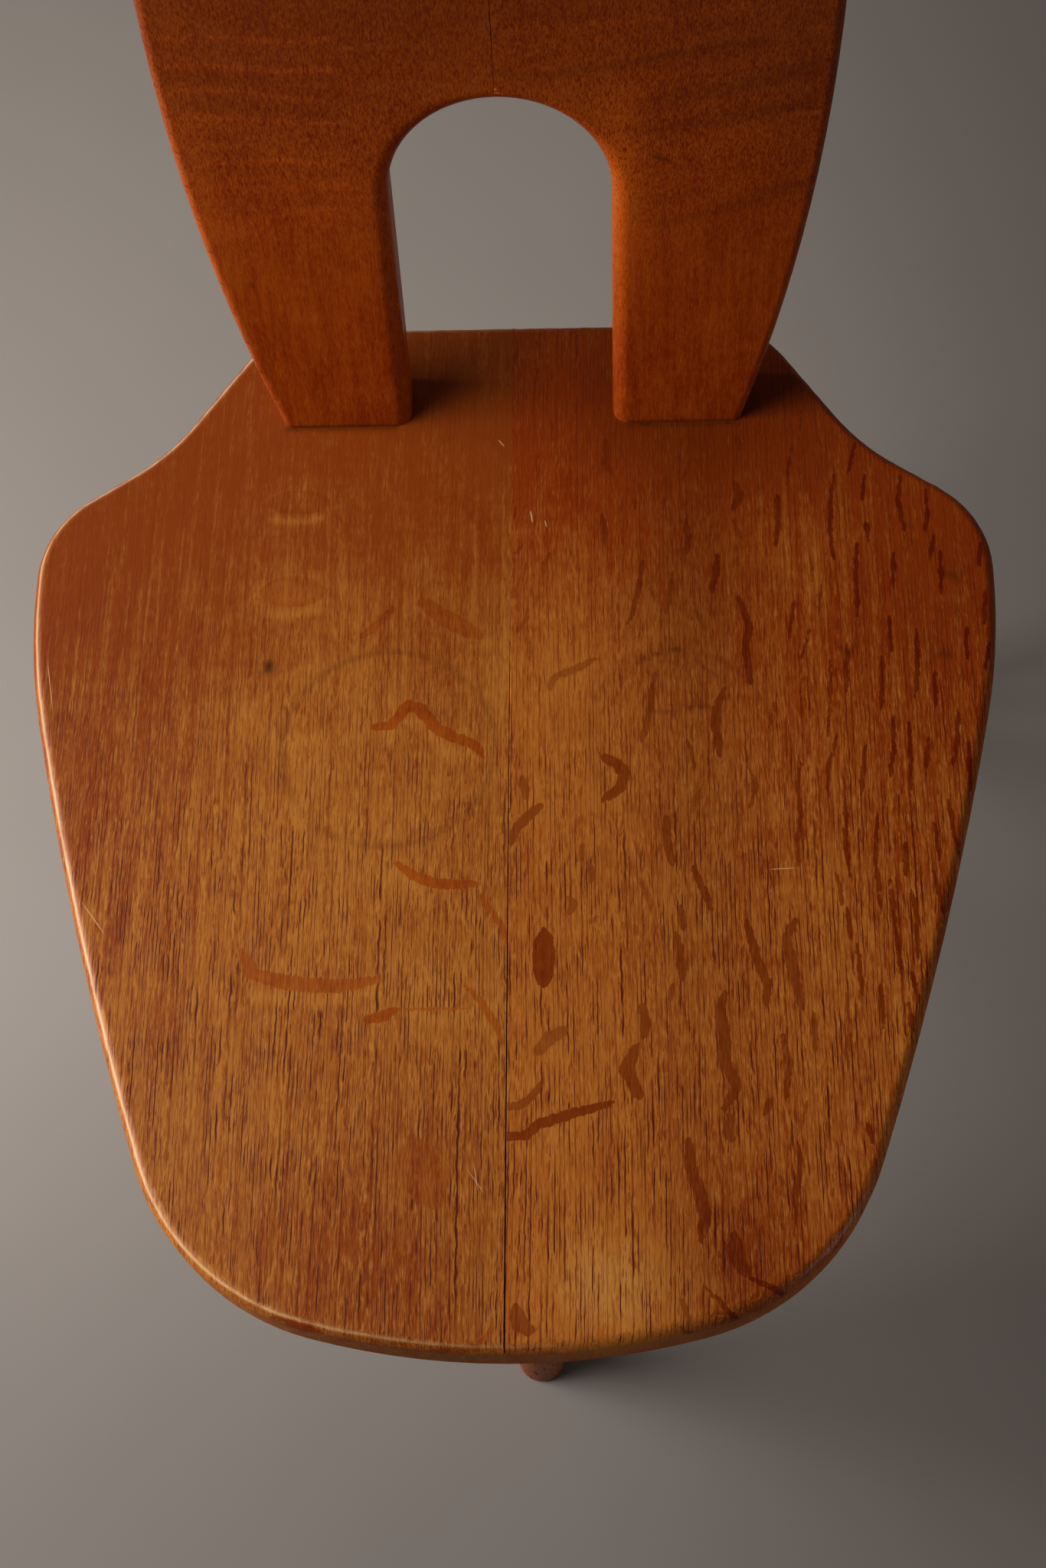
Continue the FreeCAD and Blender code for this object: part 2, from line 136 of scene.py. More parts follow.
class Finish:
    """A procedural material, and the small steps that its patterns are made of."""

    def __init__(self, name, grain_turn=ALONG_Y):
        self.material = bpy.data.materials.new(name)
        self.material.use_nodes = True
        self.tree = self.material.node_tree
        self.shader = self.tree.nodes["Principled BSDF"]
        self.grain_turn = [math.radians(angle) for angle in grain_turn]
        self.place = self.add("ShaderNodeTexCoord").outputs["Object"]

    def add(self, kind, **settings):
        node = self.tree.nodes.new(kind)
        for name, value in settings.items():
            setattr(node, name, value)
        return node

    def feed(self, socket, value):
        """Give a socket a constant or the output of another node."""
        if isinstance(value, bpy.types.NodeSocket):
            self.tree.links.new(value, socket)
        else:
            socket.default_value = value

    def math(self, operation, first, second=0.0):
        node = self.add("ShaderNodeMath", operation=operation)
        self.feed(node.inputs[0], first)
        self.feed(node.inputs[1], second)
        return node.outputs[0]

    def times(self, first, second):
        return self.math("MULTIPLY", first, second)

    def total(self, *values):
        """The sum of any number of values."""
        result = values[0]
        for value in values[1:]:
            result = self.math("ADD", result, value)
        return result

    def swing(self, value, amount):
        """A pattern between 0 and 1 turned into a swing about zero."""
        return self.times(self.math("SUBTRACT", value, 0.5), amount)

    def less(self, value, share=1.0):
        """What is left of 1 when a share of a value is taken off."""
        return self.math("SUBTRACT", 1.0, self.times(value, share))

    def band(self, value, low, high, bottom=0.0, top=1.0):
        """A soft step of a value, from bottom below low to top above high."""
        node = self.add("ShaderNodeMapRange", interpolation_type="SMOOTHSTEP")
        for socket, given in zip(node.inputs[:5], (value, low, high, bottom, top)):
            self.feed(socket, given)
        return node.outputs[0]

    def mix(self, amount, first, second, blend="MIX"):
        """A colour between two others."""
        node = self.add("ShaderNodeMix", data_type="RGBA", blend_type=blend)
        self.feed(node.inputs[0], amount)
        self.feed(node.inputs[6], first)
        self.feed(node.inputs[7], second)
        return node.outputs[2]

    def tinted(self, amount, colour, tint):
        """A colour multiplied by a tint, by a share."""
        return self.mix(amount, colour, tint, "MULTIPLY")

    def stretched(self, across, along, thick, place=None):
        """Coordinates in which features have these sizes, across the grain, along it and into it."""
        node = self.add("ShaderNodeMapping", vector_type="TEXTURE")
        node.inputs["Rotation"].default_value = self.grain_turn
        node.inputs["Scale"].default_value = (across * MM, along * MM, thick * MM)
        self.feed(node.inputs["Vector"], place or self.place)
        return node.outputs[0]

    def parts(self, place):
        """The x, y and z of a place."""
        split = self.add("ShaderNodeSeparateXYZ")
        self.feed(split.inputs[0], place)
        return split.outputs

    def noise(self, place, detail=1.0, roughness=0.5):
        node = self.add("ShaderNodeTexNoise")
        self.feed(node.inputs["Vector"], place)
        node.inputs["Scale"].default_value = 1.0
        node.inputs["Detail"].default_value = detail
        node.inputs["Roughness"].default_value = roughness
        return node

    def cloud(self, pattern, place=None):
        """A noise between 0 and 1 whose features have a pattern's sizes."""
        sized = self.stretched(pattern.across, pattern.along, pattern.thick, place)
        return self.noise(sized, pattern.detail, pattern.roughness).outputs["Fac"]

    def wandering(self, wander, place=None):
        """A place that sways to and fro, as fibres do."""
        slow = self.noise(self.stretched(wander.across, wander.along, wander.across, place)).outputs["Color"]
        centred = self.add("ShaderNodeVectorMath", operation="SUBTRACT")
        self.feed(centred.inputs[0], slow)
        centred.inputs[1].default_value = (0.5, 0.5, 0.5)
        moved = self.add("ShaderNodeVectorMath", operation="MULTIPLY_ADD")
        self.feed(moved.inputs[0], centred.outputs[0])
        moved.inputs[1].default_value = [wander.sway * MM] * 3
        self.feed(moved.inputs[2], place or self.place)
        return moved.outputs[0]

    def pore_rows(self, place, rows):
        """Open pores: tapering dashes in rows along the grain."""
        across, along, thick = self.parts(self.stretched(rows.spacing, rows.length, rows.length / 3, place))
        row = self.math("FLOOR", across)
        off_middle = self.math("ABSOLUTE", self.math("SUBTRACT", self.math("SUBTRACT", across, row), 0.5))
        cell = self.add("ShaderNodeCombineXYZ")
        self.feed(cell.inputs[0], self.times(row, PORE_ROW_JUMP))
        self.feed(cell.inputs[1], along)
        self.feed(cell.inputs[2], thick)
        dashes = self.noise(cell.outputs[0]).outputs["Fac"]
        level = PORE_LEVEL_BARE - PORE_LEVEL_RANGE * rows.cover
        share = rows.width / rows.spacing
        shut, open_wide = PORE_REACH
        reach = self.band(dashes, level + PORE_END[0], level + PORE_END[1], shut * share, open_wide * share)
        soft = PORE_SOFT_EDGE * share
        return self.band(self.math("SUBTRACT", reach, off_middle), -soft, soft)

    def stained(self, pores, colour):
        """A colour with pores in it, which stain the wood at their sides red."""
        colour = self.tinted(pores, colour, PORE_TINT)
        return self.mix(self.band(pores, *PORE_HEART), colour, PORE_BROWN)

    def scratch(self, start, end, width):
        """A thin straight line on a level face, from one place (x, y) to another."""
        x, y, _ = self.parts(self.place)
        course = (Vector(end) - Vector(start)) * MM
        east = self.math("SUBTRACT", x, start[0] * MM)
        north = self.math("SUBTRACT", y, start[1] * MM)
        ahead = course.normalized()
        along = self.total(self.times(east, ahead.x), self.times(north, ahead.y))
        aside = self.math("ABSOLUTE", self.total(self.times(east, -ahead.y), self.times(north, ahead.x)))
        from_middle = self.math("ABSOLUTE", self.math("SUBTRACT", along, course.length / 2))
        tapers_from, ends = [share * course.length for share in SCRATCH_TAPER]
        fades_from, fades_to = [share * width * MM for share in SCRATCH_EDGE]
        taper = self.band(from_middle, tapers_from, ends, 1.0, 0.0)
        return self.times(taper, self.band(aside, fades_from, fades_to, 1.0, 0.0))

    def marked(self, name):
        """What a board's own attribute says at a place."""
        return self.add("ShaderNodeAttribute", attribute_name=name).outputs["Fac"]

    def finish(self, colour, roughness, gloss, height, depth):
        """Join the patterns to the shader. A height of 1 stands the depth, in millimetres, above 0."""
        self.feed(self.shader.inputs["Base Color"], colour)
        self.feed(self.shader.inputs["Roughness"], roughness)
        self.shader.inputs["Specular IOR Level"].default_value = gloss
        bump = self.add("ShaderNodeBump")
        bump.inputs["Strength"].default_value = 1.0
        bump.inputs["Distance"].default_value = depth * MM
        self.feed(bump.inputs["Height"], height)
        self.feed(self.shader.inputs["Normal"], bump.outputs[0])
        return self.material


# Quarter-sawn oak of the seat. Ranges give the ends of a soft step and, with four numbers, its two values.
SEAT_DRIFT = Wander(7, 45, 300)
SEAT_BEND = Wander(6, 11, 500)
SEAT_WIGGLE = Wander(0.9, 3, 7)
SEAT_STRIPES = Pattern(1.8, 120, 8, 2, 0.65, 0.9)
SEAT_LONG_STREAKS = Pattern(5, 50, 8, 2, 0.6, 0.7)
SEAT_FIBRE = Pattern(0.48, 6, 0.48, 2, 0.6, 2)
SEAT_CLOUDS = Pattern(26, 36, 26, 4, 0.6, 0.8)
SEAT_WAVES = Pattern(16, 5, 10, 2, 0.6, 0.5)
SEAT_STREAKY_GAIN = 1.2
OAK_TONES = (-0.85, 0.85)
PALE_TONES = (0.7, 2.2)
PALE_FIBRE = (0.54, 0.72, 0, 0.45)
PALE_WHERE_OPEN = (0.4, 1)
RAGGED_FLECKS = Pattern(2.2, 4.5, 2.2, 3, 0.6, 3)
FLECK_EDGE = (-0.2, 0.25)
FINE_PORE_DEPTH = 0.75
FIBRE_PORES = (0.46, 0.3, 0, 0.6)
PORE_FILLING = Pattern(5, 24, 5, 2, 0.6)
UNFILLED = (0.35, 0.62, 0.4, 1)
SIDE_PORES_LOST = 0.7
# The pale rim line, partly wear and partly a painted highlight, is broken up by fibre and streaks
RIM_WEAR_HIGHLIGHT_FIBRE_SWING = 0.6
RIM_WEAR_HIGHLIGHT_BREAKUP = (0.2, 0.6, 0.35, 0.9)
SOIL_AND_SHADE_SHARE = 0.8
SCRATCH_SHARE = 0.6
PORES_ROUGHER = 0.15
FIBRE_ROUGHER = 0.12
SIDE_ROUGHER = 0.35
SEAT_ROUGHNESS = 0.28
SEAT_GLOSS = 0.13
SEAT_FIBRE_STANDS = 0.5
SEAT_PORES_SINK = 0.6
SEAT_RELIEF = 0.04

# Scratches on the seat: where each starts and ends (x, y), and its width
SEAT_SCRATCHES = [
    ((-168, -71), (-156, -87), 0.6),
    ((-191, 36), (-186, 9), 0.5),
    ((-15, -178), (-7, -189), 0.4),
    ((-12, -176), (-10, -188), 0.4),
    ((8, 103), (9, 96), 1.0),
    ((14, 98), (15, 94), 0.7),
    ((101, -61), (113, -60.5), 0.6),
    ((-6, 138), (-3, 134), 0.7),
]


def seat_oak(board):
    """Quarter-sawn oak with ray flecks, handled and waxed for decades."""
    wood = Finish("seat_oak_" + board.name, ALONG_Y)
    place = wood.wandering(SEAT_DRIFT)
    wiggle = wood.wandering(SEAT_WIGGLE, wood.wandering(SEAT_BEND, place))
    stripes = wood.cloud(SEAT_STRIPES, place)
    streaks = wood.cloud(SEAT_LONG_STREAKS, place)
    fibre = wood.cloud(SEAT_FIBRE, wiggle)
    clouds = wood.swing(wood.cloud(SEAT_CLOUDS), SEAT_CLOUDS.swing)
    waves = wood.swing(wood.cloud(SEAT_WAVES), SEAT_WAVES.swing)
    open_grain = wood.marked("open_grain")
    side = wood.marked("side")

    streaky = wood.total(wood.times(wood.marked("streaky"), SEAT_STREAKY_GAIN), 1.0)
    lines = wood.total(wood.swing(streaks, SEAT_LONG_STREAKS.swing), wood.swing(stripes, SEAT_STRIPES.swing))
    fibres = wood.swing(fibre, SEAT_FIBRE.swing)
    tone = wood.total(wood.marked("gold"), clouds, waves, fibres, wood.times(lines, streaky))
    colour = wood.mix(wood.band(tone, *OAK_TONES), board.stain.russet, board.stain.golden)
    colour = wood.mix(wood.band(tone, *PALE_TONES), colour, PALE_STREAK)
    pale = wood.times(wood.band(fibre, *PALE_FIBRE), wood.band(open_grain, *PALE_WHERE_OPEN))
    colour = wood.mix(pale, colour, PALE_STREAK)

    ragged = wood.swing(wood.cloud(RAGGED_FLECKS), RAGGED_FLECKS.swing)
    fleck = wood.band(wood.total(wood.marked("fleck"), ragged), *FLECK_EDGE)
    fleck = wood.times(fleck, wood.marked("fleck_strength"))
    colour = wood.tinted(fleck, colour, board.fleck_tint)

    fine = wood.times(wood.pore_rows(wiggle, board.fine_pores), FINE_PORE_DEPTH)
    pores = wood.math("MAXIMUM", wood.pore_rows(wiggle, board.coarse_pores), fine)
    pores = wood.math("MAXIMUM", pores, wood.band(fibre, *FIBRE_PORES))
    unfilled = wood.band(wood.cloud(PORE_FILLING, place), *UNFILLED)
    pores = wood.times(wood.times(pores, wood.less(fleck)), wood.times(unfilled, open_grain))
    pores = wood.times(pores, wood.less(side, SIDE_PORES_LOST))
    colour = wood.stained(pores, colour)

    # A pale line along the left rim: partly wear, partly a painted highlight
    worn = wood.band(wood.total(wood.swing(fibre, RIM_WEAR_HIGHLIGHT_FIBRE_SWING), streaks), *RIM_WEAR_HIGHLIGHT_BREAKUP)
    colour = wood.mix(wood.times(wood.marked("worn"), worn), colour, RIM_WEAR_AND_HIGHLIGHT_GOLD)
    # Darker where the dark mark says: cup rings, patina and spots, painted shade at the rear and between the
    # back's feet, and a painted contact shadow in front of them
    colour = wood.mix(wood.times(wood.marked("dark"), SOIL_AND_SHADE_SHARE), colour, SOIL_AND_SHADE_BROWN)
    for start, end, width in SEAT_SCRATCHES:
        colour = wood.mix(wood.times(wood.scratch(start, end, width), SCRATCH_SHARE), colour, SCRATCH_TAN)
    rougher = wood.total(wood.times(pores, PORES_ROUGHER), wood.times(fibre, FIBRE_ROUGHER))
    rough = wood.total(rougher, wood.times(side, SIDE_ROUGHER), SEAT_ROUGHNESS)
    height = wood.math("SUBTRACT", wood.times(fibre, SEAT_FIBRE_STANDS), wood.times(pores, SEAT_PORES_SINK))
    return wood.finish(colour, rough, SEAT_GLOSS, height, SEAT_RELIEF)


# Oak of the back
BACK_DRIFT = Wander(3, 30, 120)
BACK_WIGGLE = Wander(0.8, 2, 3)
BACK_FIBRE = Pattern(0.7, 5, 0.7, 3, 0.65, 1.4)
BACK_MOTTLE = Pattern(1.2, 3.4, 1.2, 2, 0.65, 1.4)
BACK_LONG_STREAKS = Pattern(3.5, 45, 6, 2, 0.65, 1.3)
BACK_FIGURED_STREAKS = 0.3
BACK_CLOUDS = Pattern(30, 35, 30, 3, 0.6, 0.7)
BACK_BANDS = Pattern(70, 6, 40, 2, 0.6, 0.45)
BACK_STROKES = Pattern(0.5, 1.9, 0.5, 2, 0.6)
DARK_STROKES = (0.5, 0.36)
PALE_STROKES = (0.54, 0.72, 0, 0.22)
# Pale ray lines, and a painted highlight, where the dark mark is below zero
PALE_LINES_AND_HIGHLIGHT = (0, -1)
BACK_ROUGHNESS = 0.3
BACK_GLOSS = 0.13
BACK_FIBRE_STANDS = 0.3
BACK_RELIEF = 0.03


def back_oak(board):
    """Oak cut across the rays: fine dashes up the board and faint bands across it, rubbed smooth below."""
    wood = Finish("back_oak_" + board.name, UP_THE_BACK)
    place = wood.wandering(BACK_DRIFT)
    fibre = wood.cloud(BACK_FIBRE, place)
    mottle = wood.cloud(BACK_MOTTLE, place)
    streaks = wood.cloud(BACK_LONG_STREAKS, place)
    clouds = wood.swing(wood.cloud(BACK_CLOUDS), BACK_CLOUDS.swing)
    upright = wood.grain_turn
    wood.grain_turn = [upright[0], math.radians(board.figure_slope), upright[2]]
    bands = wood.cloud(BACK_BANDS)
    wood.grain_turn = upright

    lace = wood.marked("open_grain")
    smooth = wood.times(wood.swing(streaks, BACK_LONG_STREAKS.swing), wood.less(lace))
    figure = wood.total(wood.swing(bands, BACK_BANDS.swing), wood.swing(mottle, BACK_MOTTLE.swing))
    figure = wood.total(figure, wood.swing(streaks, BACK_FIGURED_STREAKS))
    fibres = wood.swing(fibre, BACK_FIBRE.swing)
    tone = wood.total(wood.marked("gold"), clouds, fibres, smooth, wood.times(figure, lace))
    colour = wood.mix(wood.band(tone, *OAK_TONES), board.stain.russet, board.stain.golden)

    strokes = wood.cloud(BACK_STROKES, wood.wandering(BACK_WIGGLE, place))
    depth = wood.times(lace, board.stroke_depth)
    dashes = wood.times(wood.band(strokes, *DARK_STROKES), depth)
    colour = wood.tinted(dashes, colour, DASH_TINT)
    colour = wood.mix(wood.times(wood.band(strokes, *PALE_STROKES), depth), colour, RAY_GOLD)
    # Darker where the dark mark is above zero: spots and areas of the wood, painted shade towards the top,
    # and a painted contact shadow at the foot. Paler and orange below zero: ray lines, and a painted
    # highlight on the arch's inner edge.
    dark = wood.marked("dark")
    colour = wood.mix(wood.times(dark, SOIL_AND_SHADE_SHARE), colour, SOIL_AND_SHADE_BROWN)
    colour = wood.mix(wood.band(dark, *PALE_LINES_AND_HIGHLIGHT), colour, RAY_AND_HIGHLIGHT_ORANGE)
    rough = wood.total(wood.times(dashes, PORES_ROUGHER), wood.times(fibre, FIBRE_ROUGHER), BACK_ROUGHNESS)
    height = wood.math("SUBTRACT", wood.times(fibre, BACK_FIBRE_STANDS), dashes)
    return wood.finish(colour, rough, BACK_GLOSS, height, BACK_RELIEF)


# Plain oak and beech
PLAIN_DRIFT = Wander(5, 35, 200)
PLAIN_STRIPES = Pattern(2.4, 220, 6, 2, 0.65, 0.8)
PLAIN_FIBRE = Pattern(0.5, 15, 0.5, 3, 0.65, 0.5)
PLAIN_CLOUDS = Pattern(30, 90, 30, 3, 0.6, 0.9)
PLAIN_PORES = Pattern(0.9, 11, 0.9, 1, 0.5)
PLAIN_TONES = (-0.7, 0.7)
PLAIN_PORE_RANGE = (0.58, 0.7)
PLAIN_PORES_ROUGHER = 0.2
PLAIN_FIBRE_ROUGHER = 0.15
PLAIN_GLOSS = 0.3
PLAIN_FIBRE_STANDS = 0.3
PLAIN_RELIEF = 0.06
BEECH_FIBRE = Pattern(0.6, 14, 0.6, 2, 0.6)
BEECH_FLECKS = PoreRows(1.4, 0.4, 2.2, 0.35)
BEECH_TONES = (0.3, 0.7)
BEECH_TAN = srgb(168, 120, 74)
BEECH_PALE = srgb(190, 146, 98)
BEECH_FLECK_BROWN = srgb(120, 78, 42)
BEECH_FLECK_SHARE = 0.6
BEECH_ROUGHNESS = 0.5
BEECH_RELIEF = 0.03


def plain_oak(name, grain_turn, stain, roughness):
    """Oak with its stripes, pores and fibre and no ray figure, for the pieces below the seat."""
    wood = Finish(name, grain_turn)
    place = wood.wandering(PLAIN_DRIFT)
    stripes = wood.swing(wood.cloud(PLAIN_STRIPES, place), PLAIN_STRIPES.swing)
    fibre = wood.cloud(PLAIN_FIBRE, place)
    clouds = wood.swing(wood.cloud(PLAIN_CLOUDS), PLAIN_CLOUDS.swing)
    tone = wood.total(clouds, stripes, wood.swing(fibre, PLAIN_FIBRE.swing))
    colour = wood.mix(wood.band(tone, *PLAIN_TONES), stain.russet, stain.golden)
    pores = wood.band(wood.cloud(PLAIN_PORES, place), *PLAIN_PORE_RANGE)
    colour = wood.tinted(pores, colour, PORE_TINT)
    rougher = wood.total(wood.times(pores, PLAIN_PORES_ROUGHER), wood.times(fibre, PLAIN_FIBRE_ROUGHER))
    height = wood.math("SUBTRACT", wood.times(fibre, PLAIN_FIBRE_STANDS), pores)
    return wood.finish(colour, wood.total(rougher, roughness), PLAIN_GLOSS, height, PLAIN_RELIEF)


def plain_beech(name):
    """Beech with short brown flecks, for the dowels."""
    wood = Finish(name, ALONG_X)
    fibre = wood.cloud(BEECH_FIBRE)
    flecks = wood.times(wood.pore_rows(wood.place, BEECH_FLECKS), BEECH_FLECK_SHARE)
    colour = wood.mix(wood.band(fibre, *BEECH_TONES), BEECH_TAN, BEECH_PALE)
    colour = wood.mix(flecks, colour, BEECH_FLECK_BROWN)
    rough = wood.total(wood.times(fibre, PLAIN_FIBRE_ROUGHER), BEECH_ROUGHNESS)
    return wood.finish(colour, rough, PLAIN_GLOSS, fibre, BEECH_RELIEF)


# Ray flecks of the seat: the width of each at its widest, how strongly it shows, and the line (x, y) that it
# follows
Fleck = namedtuple("Fleck", "width strength line")
RIGHT_FLECKS = [
    Fleck(9, 1, [(14, -86), (14, -107)]),
    Fleck(5.5, 0.6, [(23, -125), (17, -128), (11, -135)]),
    Fleck(3.5, 0.75, [(13, -146), (10, -151), (5, -155), (-6, -155.5)]),
    Fleck(4.2, 1, [(40, -154), (25, -158), (12, -162), (7, -166.5), (-6, -167)]),
    Fleck(5, 0.85, [(83, -111), (81, -117), (82, -126), (82, -138), (86, -148), (81, -157)]),
    Fleck(4, 0.8, [(51, -115), (53, -123), (51, -129)]),
    Fleck(5.5, 0.85, [(49, -132), (45, -141), (50, -152)]),
    Fleck(4, 0.8, [(65, -87), (66, -95), (67, -106)]),
    Fleck(3, 0.6, [(63, -108), (62, -115)]),
    Fleck(4, 0.9, [(92, -82), (95, -95), (99, -108), (98, -117)]),
    Fleck(4.5, 0.8, [(111, -82), (107, -89), (109, -102), (112, -118)]),
    Fleck(2.5, 0.8, [(116, -119), (116, -135)]),
    Fleck(3, 0.8, [(104, -128), (106, -140), (104, -153)]),
    Fleck(3, 0.8, [(99, -152), (96, -159)]),
    Fleck(4, 0.8, [(84, -159), (82, -165), (84, -169)]),
    Fleck(1.5, 0.7, [(112, -153), (110, -163)]),
    Fleck(5, 0.85, [(68, -168), (68, -178), (71, -187), (73, -197), (71, -206)]),
    Fleck(1.5, 0.6, [(60, -164), (57, -168)]),
    Fleck(6, 0.85, [(83, -203), (84, -212), (88, -218)]),
    Fleck(2.5, 1, [(88, -219), (95, -222), (101, -225)]),
    Fleck(2, 0.9, [(72, -222), (77, -227), (81, -232), (86, -234)]),
    Fleck(2.5, 0.7, [(63, -226), (65, -231), (66, -235)]),
    Fleck(1.2, 0.7, [(62, -236), (66, -238), (72, -238.5)]),
    Fleck(6, 0.8, [(4, -229), (5, -235), (10, -238)]),
    Fleck(2.5, 0.8, [(108, -170), (109, -178), (106, -190), (106, -199)]),
    Fleck(1.5, 0.6, [(101, -182), (102, -192)]),
    Fleck(1.5, 0.6, [(101, -199), (101, -202)]),
    Fleck(1.5, 0.7, [(119, -160), (118, -172)]),
    Fleck(1.5, 0.7, [(128.5, -112), (129, -125), (128, -143)]),
    Fleck(3, 0.8, [(67, -76), (68, -86)]),
    Fleck(2, 0.5, [(49, -83), (50, -88)]),
    Fleck(5, 0.9, [(36, -11), (43, -15), (46, -20), (44, -26), (37, -31)]),
    Fleck(3.5, 0.6, [(5, -20), (6, -25), (7, -30)]),
    Fleck(4.5, 0.8, [(13, -33), (7, -38), (2, -44), (1, -49)]),
    Fleck(2, 0.5, [(29, -37), (28, -41)]),
    Fleck(2, 0.5, [(29, -49), (29, -56)]),
    Fleck(3, 0.7, [(31, -58), (33, -61), (32, -66)]),
    Fleck(3, 0.7, [(23, -71), (26, -75), (23, -79)]),
    Fleck(2, 0.5, [(35, -80), (31, -83)]),
    Fleck(2, 0.5, [(51, -64), (54, -70), (55, -78)]),
    Fleck(3.8, 0.8, [(62, -38), (62, -48), (64, -59)]),
    Fleck(3, 0.9, [(72, -59), (75, -67), (79, -78)]),
    Fleck(2, 0.8, [(71, -5), (73, -12), (74, -19)]),
    Fleck(3, 0.5, [(77, -25), (74, -32), (72, -37)]),
    Fleck(4, 0.9, [(87, 18), (83, 8), (83, 0), (84, -12)]),
    Fleck(3, 0.7, [(59, 25), (57, 12), (55, 3), (53, -6)]),
    Fleck(1.5, 0.5, [(58, -7), (61, -16), (60, -25)]),
    Fleck(3.5, 0.6, [(35, 32), (26, 27), (18, 24), (16, 18)]),
    Fleck(2, 0.5, [(8, 52), (2, 44)]),
    Fleck(3, 0.35, [(9, 41), (7, 32)]),
    Fleck(2.5, 0.8, [(55, 78), (53, 65), (50, 52), (48, 48)]),
    Fleck(2, 0.6, [(67, 72), (66, 62), (64, 52)]),
    Fleck(3, 0.9, [(86, 80), (85, 71), (83, 62)]),
    Fleck(3.5, 0.9, [(94, 60), (96, 52), (98, 45), (96, 38), (97, 28), (97, 20)]),
    Fleck(2.5, 0.5, [(76, 54), (80, 44)]),
    Fleck(1.5, 0.7, [(108, 15), (104, 0)]),
    Fleck(1.5, 0.9, [(117, 58), (115, 48), (113, 38)]),
    Fleck(1.5, 0.9, [(123, 45), (120, 36), (118, 30)]),
    Fleck(1.2, 0.8, [(124, 80), (125, 70), (124, 64)]),
    Fleck(1.5, 0.8, [(128, 65), (126, 50)]),
    Fleck(2.5, 0.7, [(95, -17), (98, -25), (95, -35)]),
    Fleck(1.5, 0.6, [(91, -37), (90, -46)]),
    Fleck(2.2, 0.9, [(116, -15), (114, -28), (115, -38), (113, -50), (113, -60)]),
    Fleck(1.5, 0.9, [(130, 30), (129, 10), (127, -5)]),
    Fleck(2, 0.9, [(131, -3), (127, -17), (126, -30)]),
    Fleck(1.8, 0.9, [(127, -62), (129, -70), (129, -77)]),
    Fleck(1.2, 0.5, [(98, -53), (101, -60), (103, -68)]),
    Fleck(2, 0.5, [(17, 83), (13, 75), (13, 69)]),
    Fleck(1.5, 0.4, [(3, 68), (2, 60)]),
    Fleck(2, 0.4, [(71, 37), (72, 20)]),
    Fleck(3, 0.5, [(40, 137), (40, 125), (42, 119)]),
    Fleck(3, 0.35, [(25, 122), (24, 112)]),
    Fleck(3, 0.7, [(38, 100), (39, 93), (39, 86)]),
    Fleck(2, 0.5, [(52, 111), (52, 102)]),
    Fleck(2, 0.5, [(64, 108), (65, 100)]),
    Fleck(3, 0.7, [(73, 97), (74, 88), (72, 76)]),
    Fleck(4, 0.7, [(94, 115), (96, 108), (93, 101)]),
    Fleck(2, 0.5, [(93, 97), (96, 86)]),
    Fleck(2.5, 0.9, [(112, 109), (112, 97), (110, 83)]),
    Fleck(1.3, 0.8, [(119, 132), (117, 122), (116, 112)]),
    Fleck(1.2, 0.6, [(125, 155), (122, 135)]),
    Fleck(3, 0.4, [(96, 138), (97, 131)]),
    Fleck(1.5, 0.6, [(2, 105), (1, 98)]),
    Fleck(1.5, 0.6, [(5, 86), (1, 81)]),
    Fleck(1.5, 0.4, [(11, 130), (11, 112)]),
    Fleck(1.5, 0.5, [(3, 193), (1, 175)]),
    Fleck(1.5, 0.4, [(11, 175), (9, 160)]),
]

# Rays that are cut nearly square on show as thin lines towards the right edge
EDGE_LINE_WIDTH = 2.1
EDGE_LINE_STRENGTH = 1.0
EDGE_LINES = [
    [(134, -92), (135, -114)], [(142, -108), (142, -126)], [(131, -77), (132, -90)],
    [(149, -85), (150, -103)], [(157, -82), (157, -99)], [(154, -103), (156, -116)],
    [(152, -115), (153, -128)], [(134, -162), (135, -170)], [(143, 78), (142, 50)],
    [(159, 80), (157, 62)], [(178, 80), (177, 60)], [(155, 50), (155, 33)],
    [(166, 45), (165, 25), (163, 12)], [(137, 38), (136, 16)], [(151, 32), (150, 15), (149, 5)],
    [(172, 25), (171, 8)], [(154, 5), (153, -10), (151, -22)], [(160, 2), (159, -28)],
    [(167, -5), (165, -22)], [(142, -8), (139, -30)], [(180, 8), (178, -10), (176, -18)],
    [(183, -5), (182, -28)], [(133, -30), (132, -50), (133, -65)], [(145, -38), (143, -55), (144, -80)],
    [(155, -50), (154, -65)], [(167, -42), (168, -58)], [(173, -32), (174, -45), (176, -56)],
    [(165, -62), (168, -80)], [(148, -65), (149, -85)], [(156, -70), (158, -85)],
    [(195, 62), (193, 45)], [(195, 38), (192, 25)], [(186, 45), (185, 30)],
    [(136, 118), (134, 105), (133, 90), (134, 76)], [(146, 134), (142, 118)], [(149, 118), (147, 105)],
    [(164, 118), (162, 105), (164, 88)], [(174, 110), (174, 98), (172, 88)], [(176, 88), (173, 76)],
    [(195, 84), (193, 72)], [(148, 95), (149, 85)], [(144, 85), (142, 62)],
]
RIGHT_FLECKS += [Fleck(EDGE_LINE_WIDTH, EDGE_LINE_STRENGTH, line) for line in EDGE_LINES]

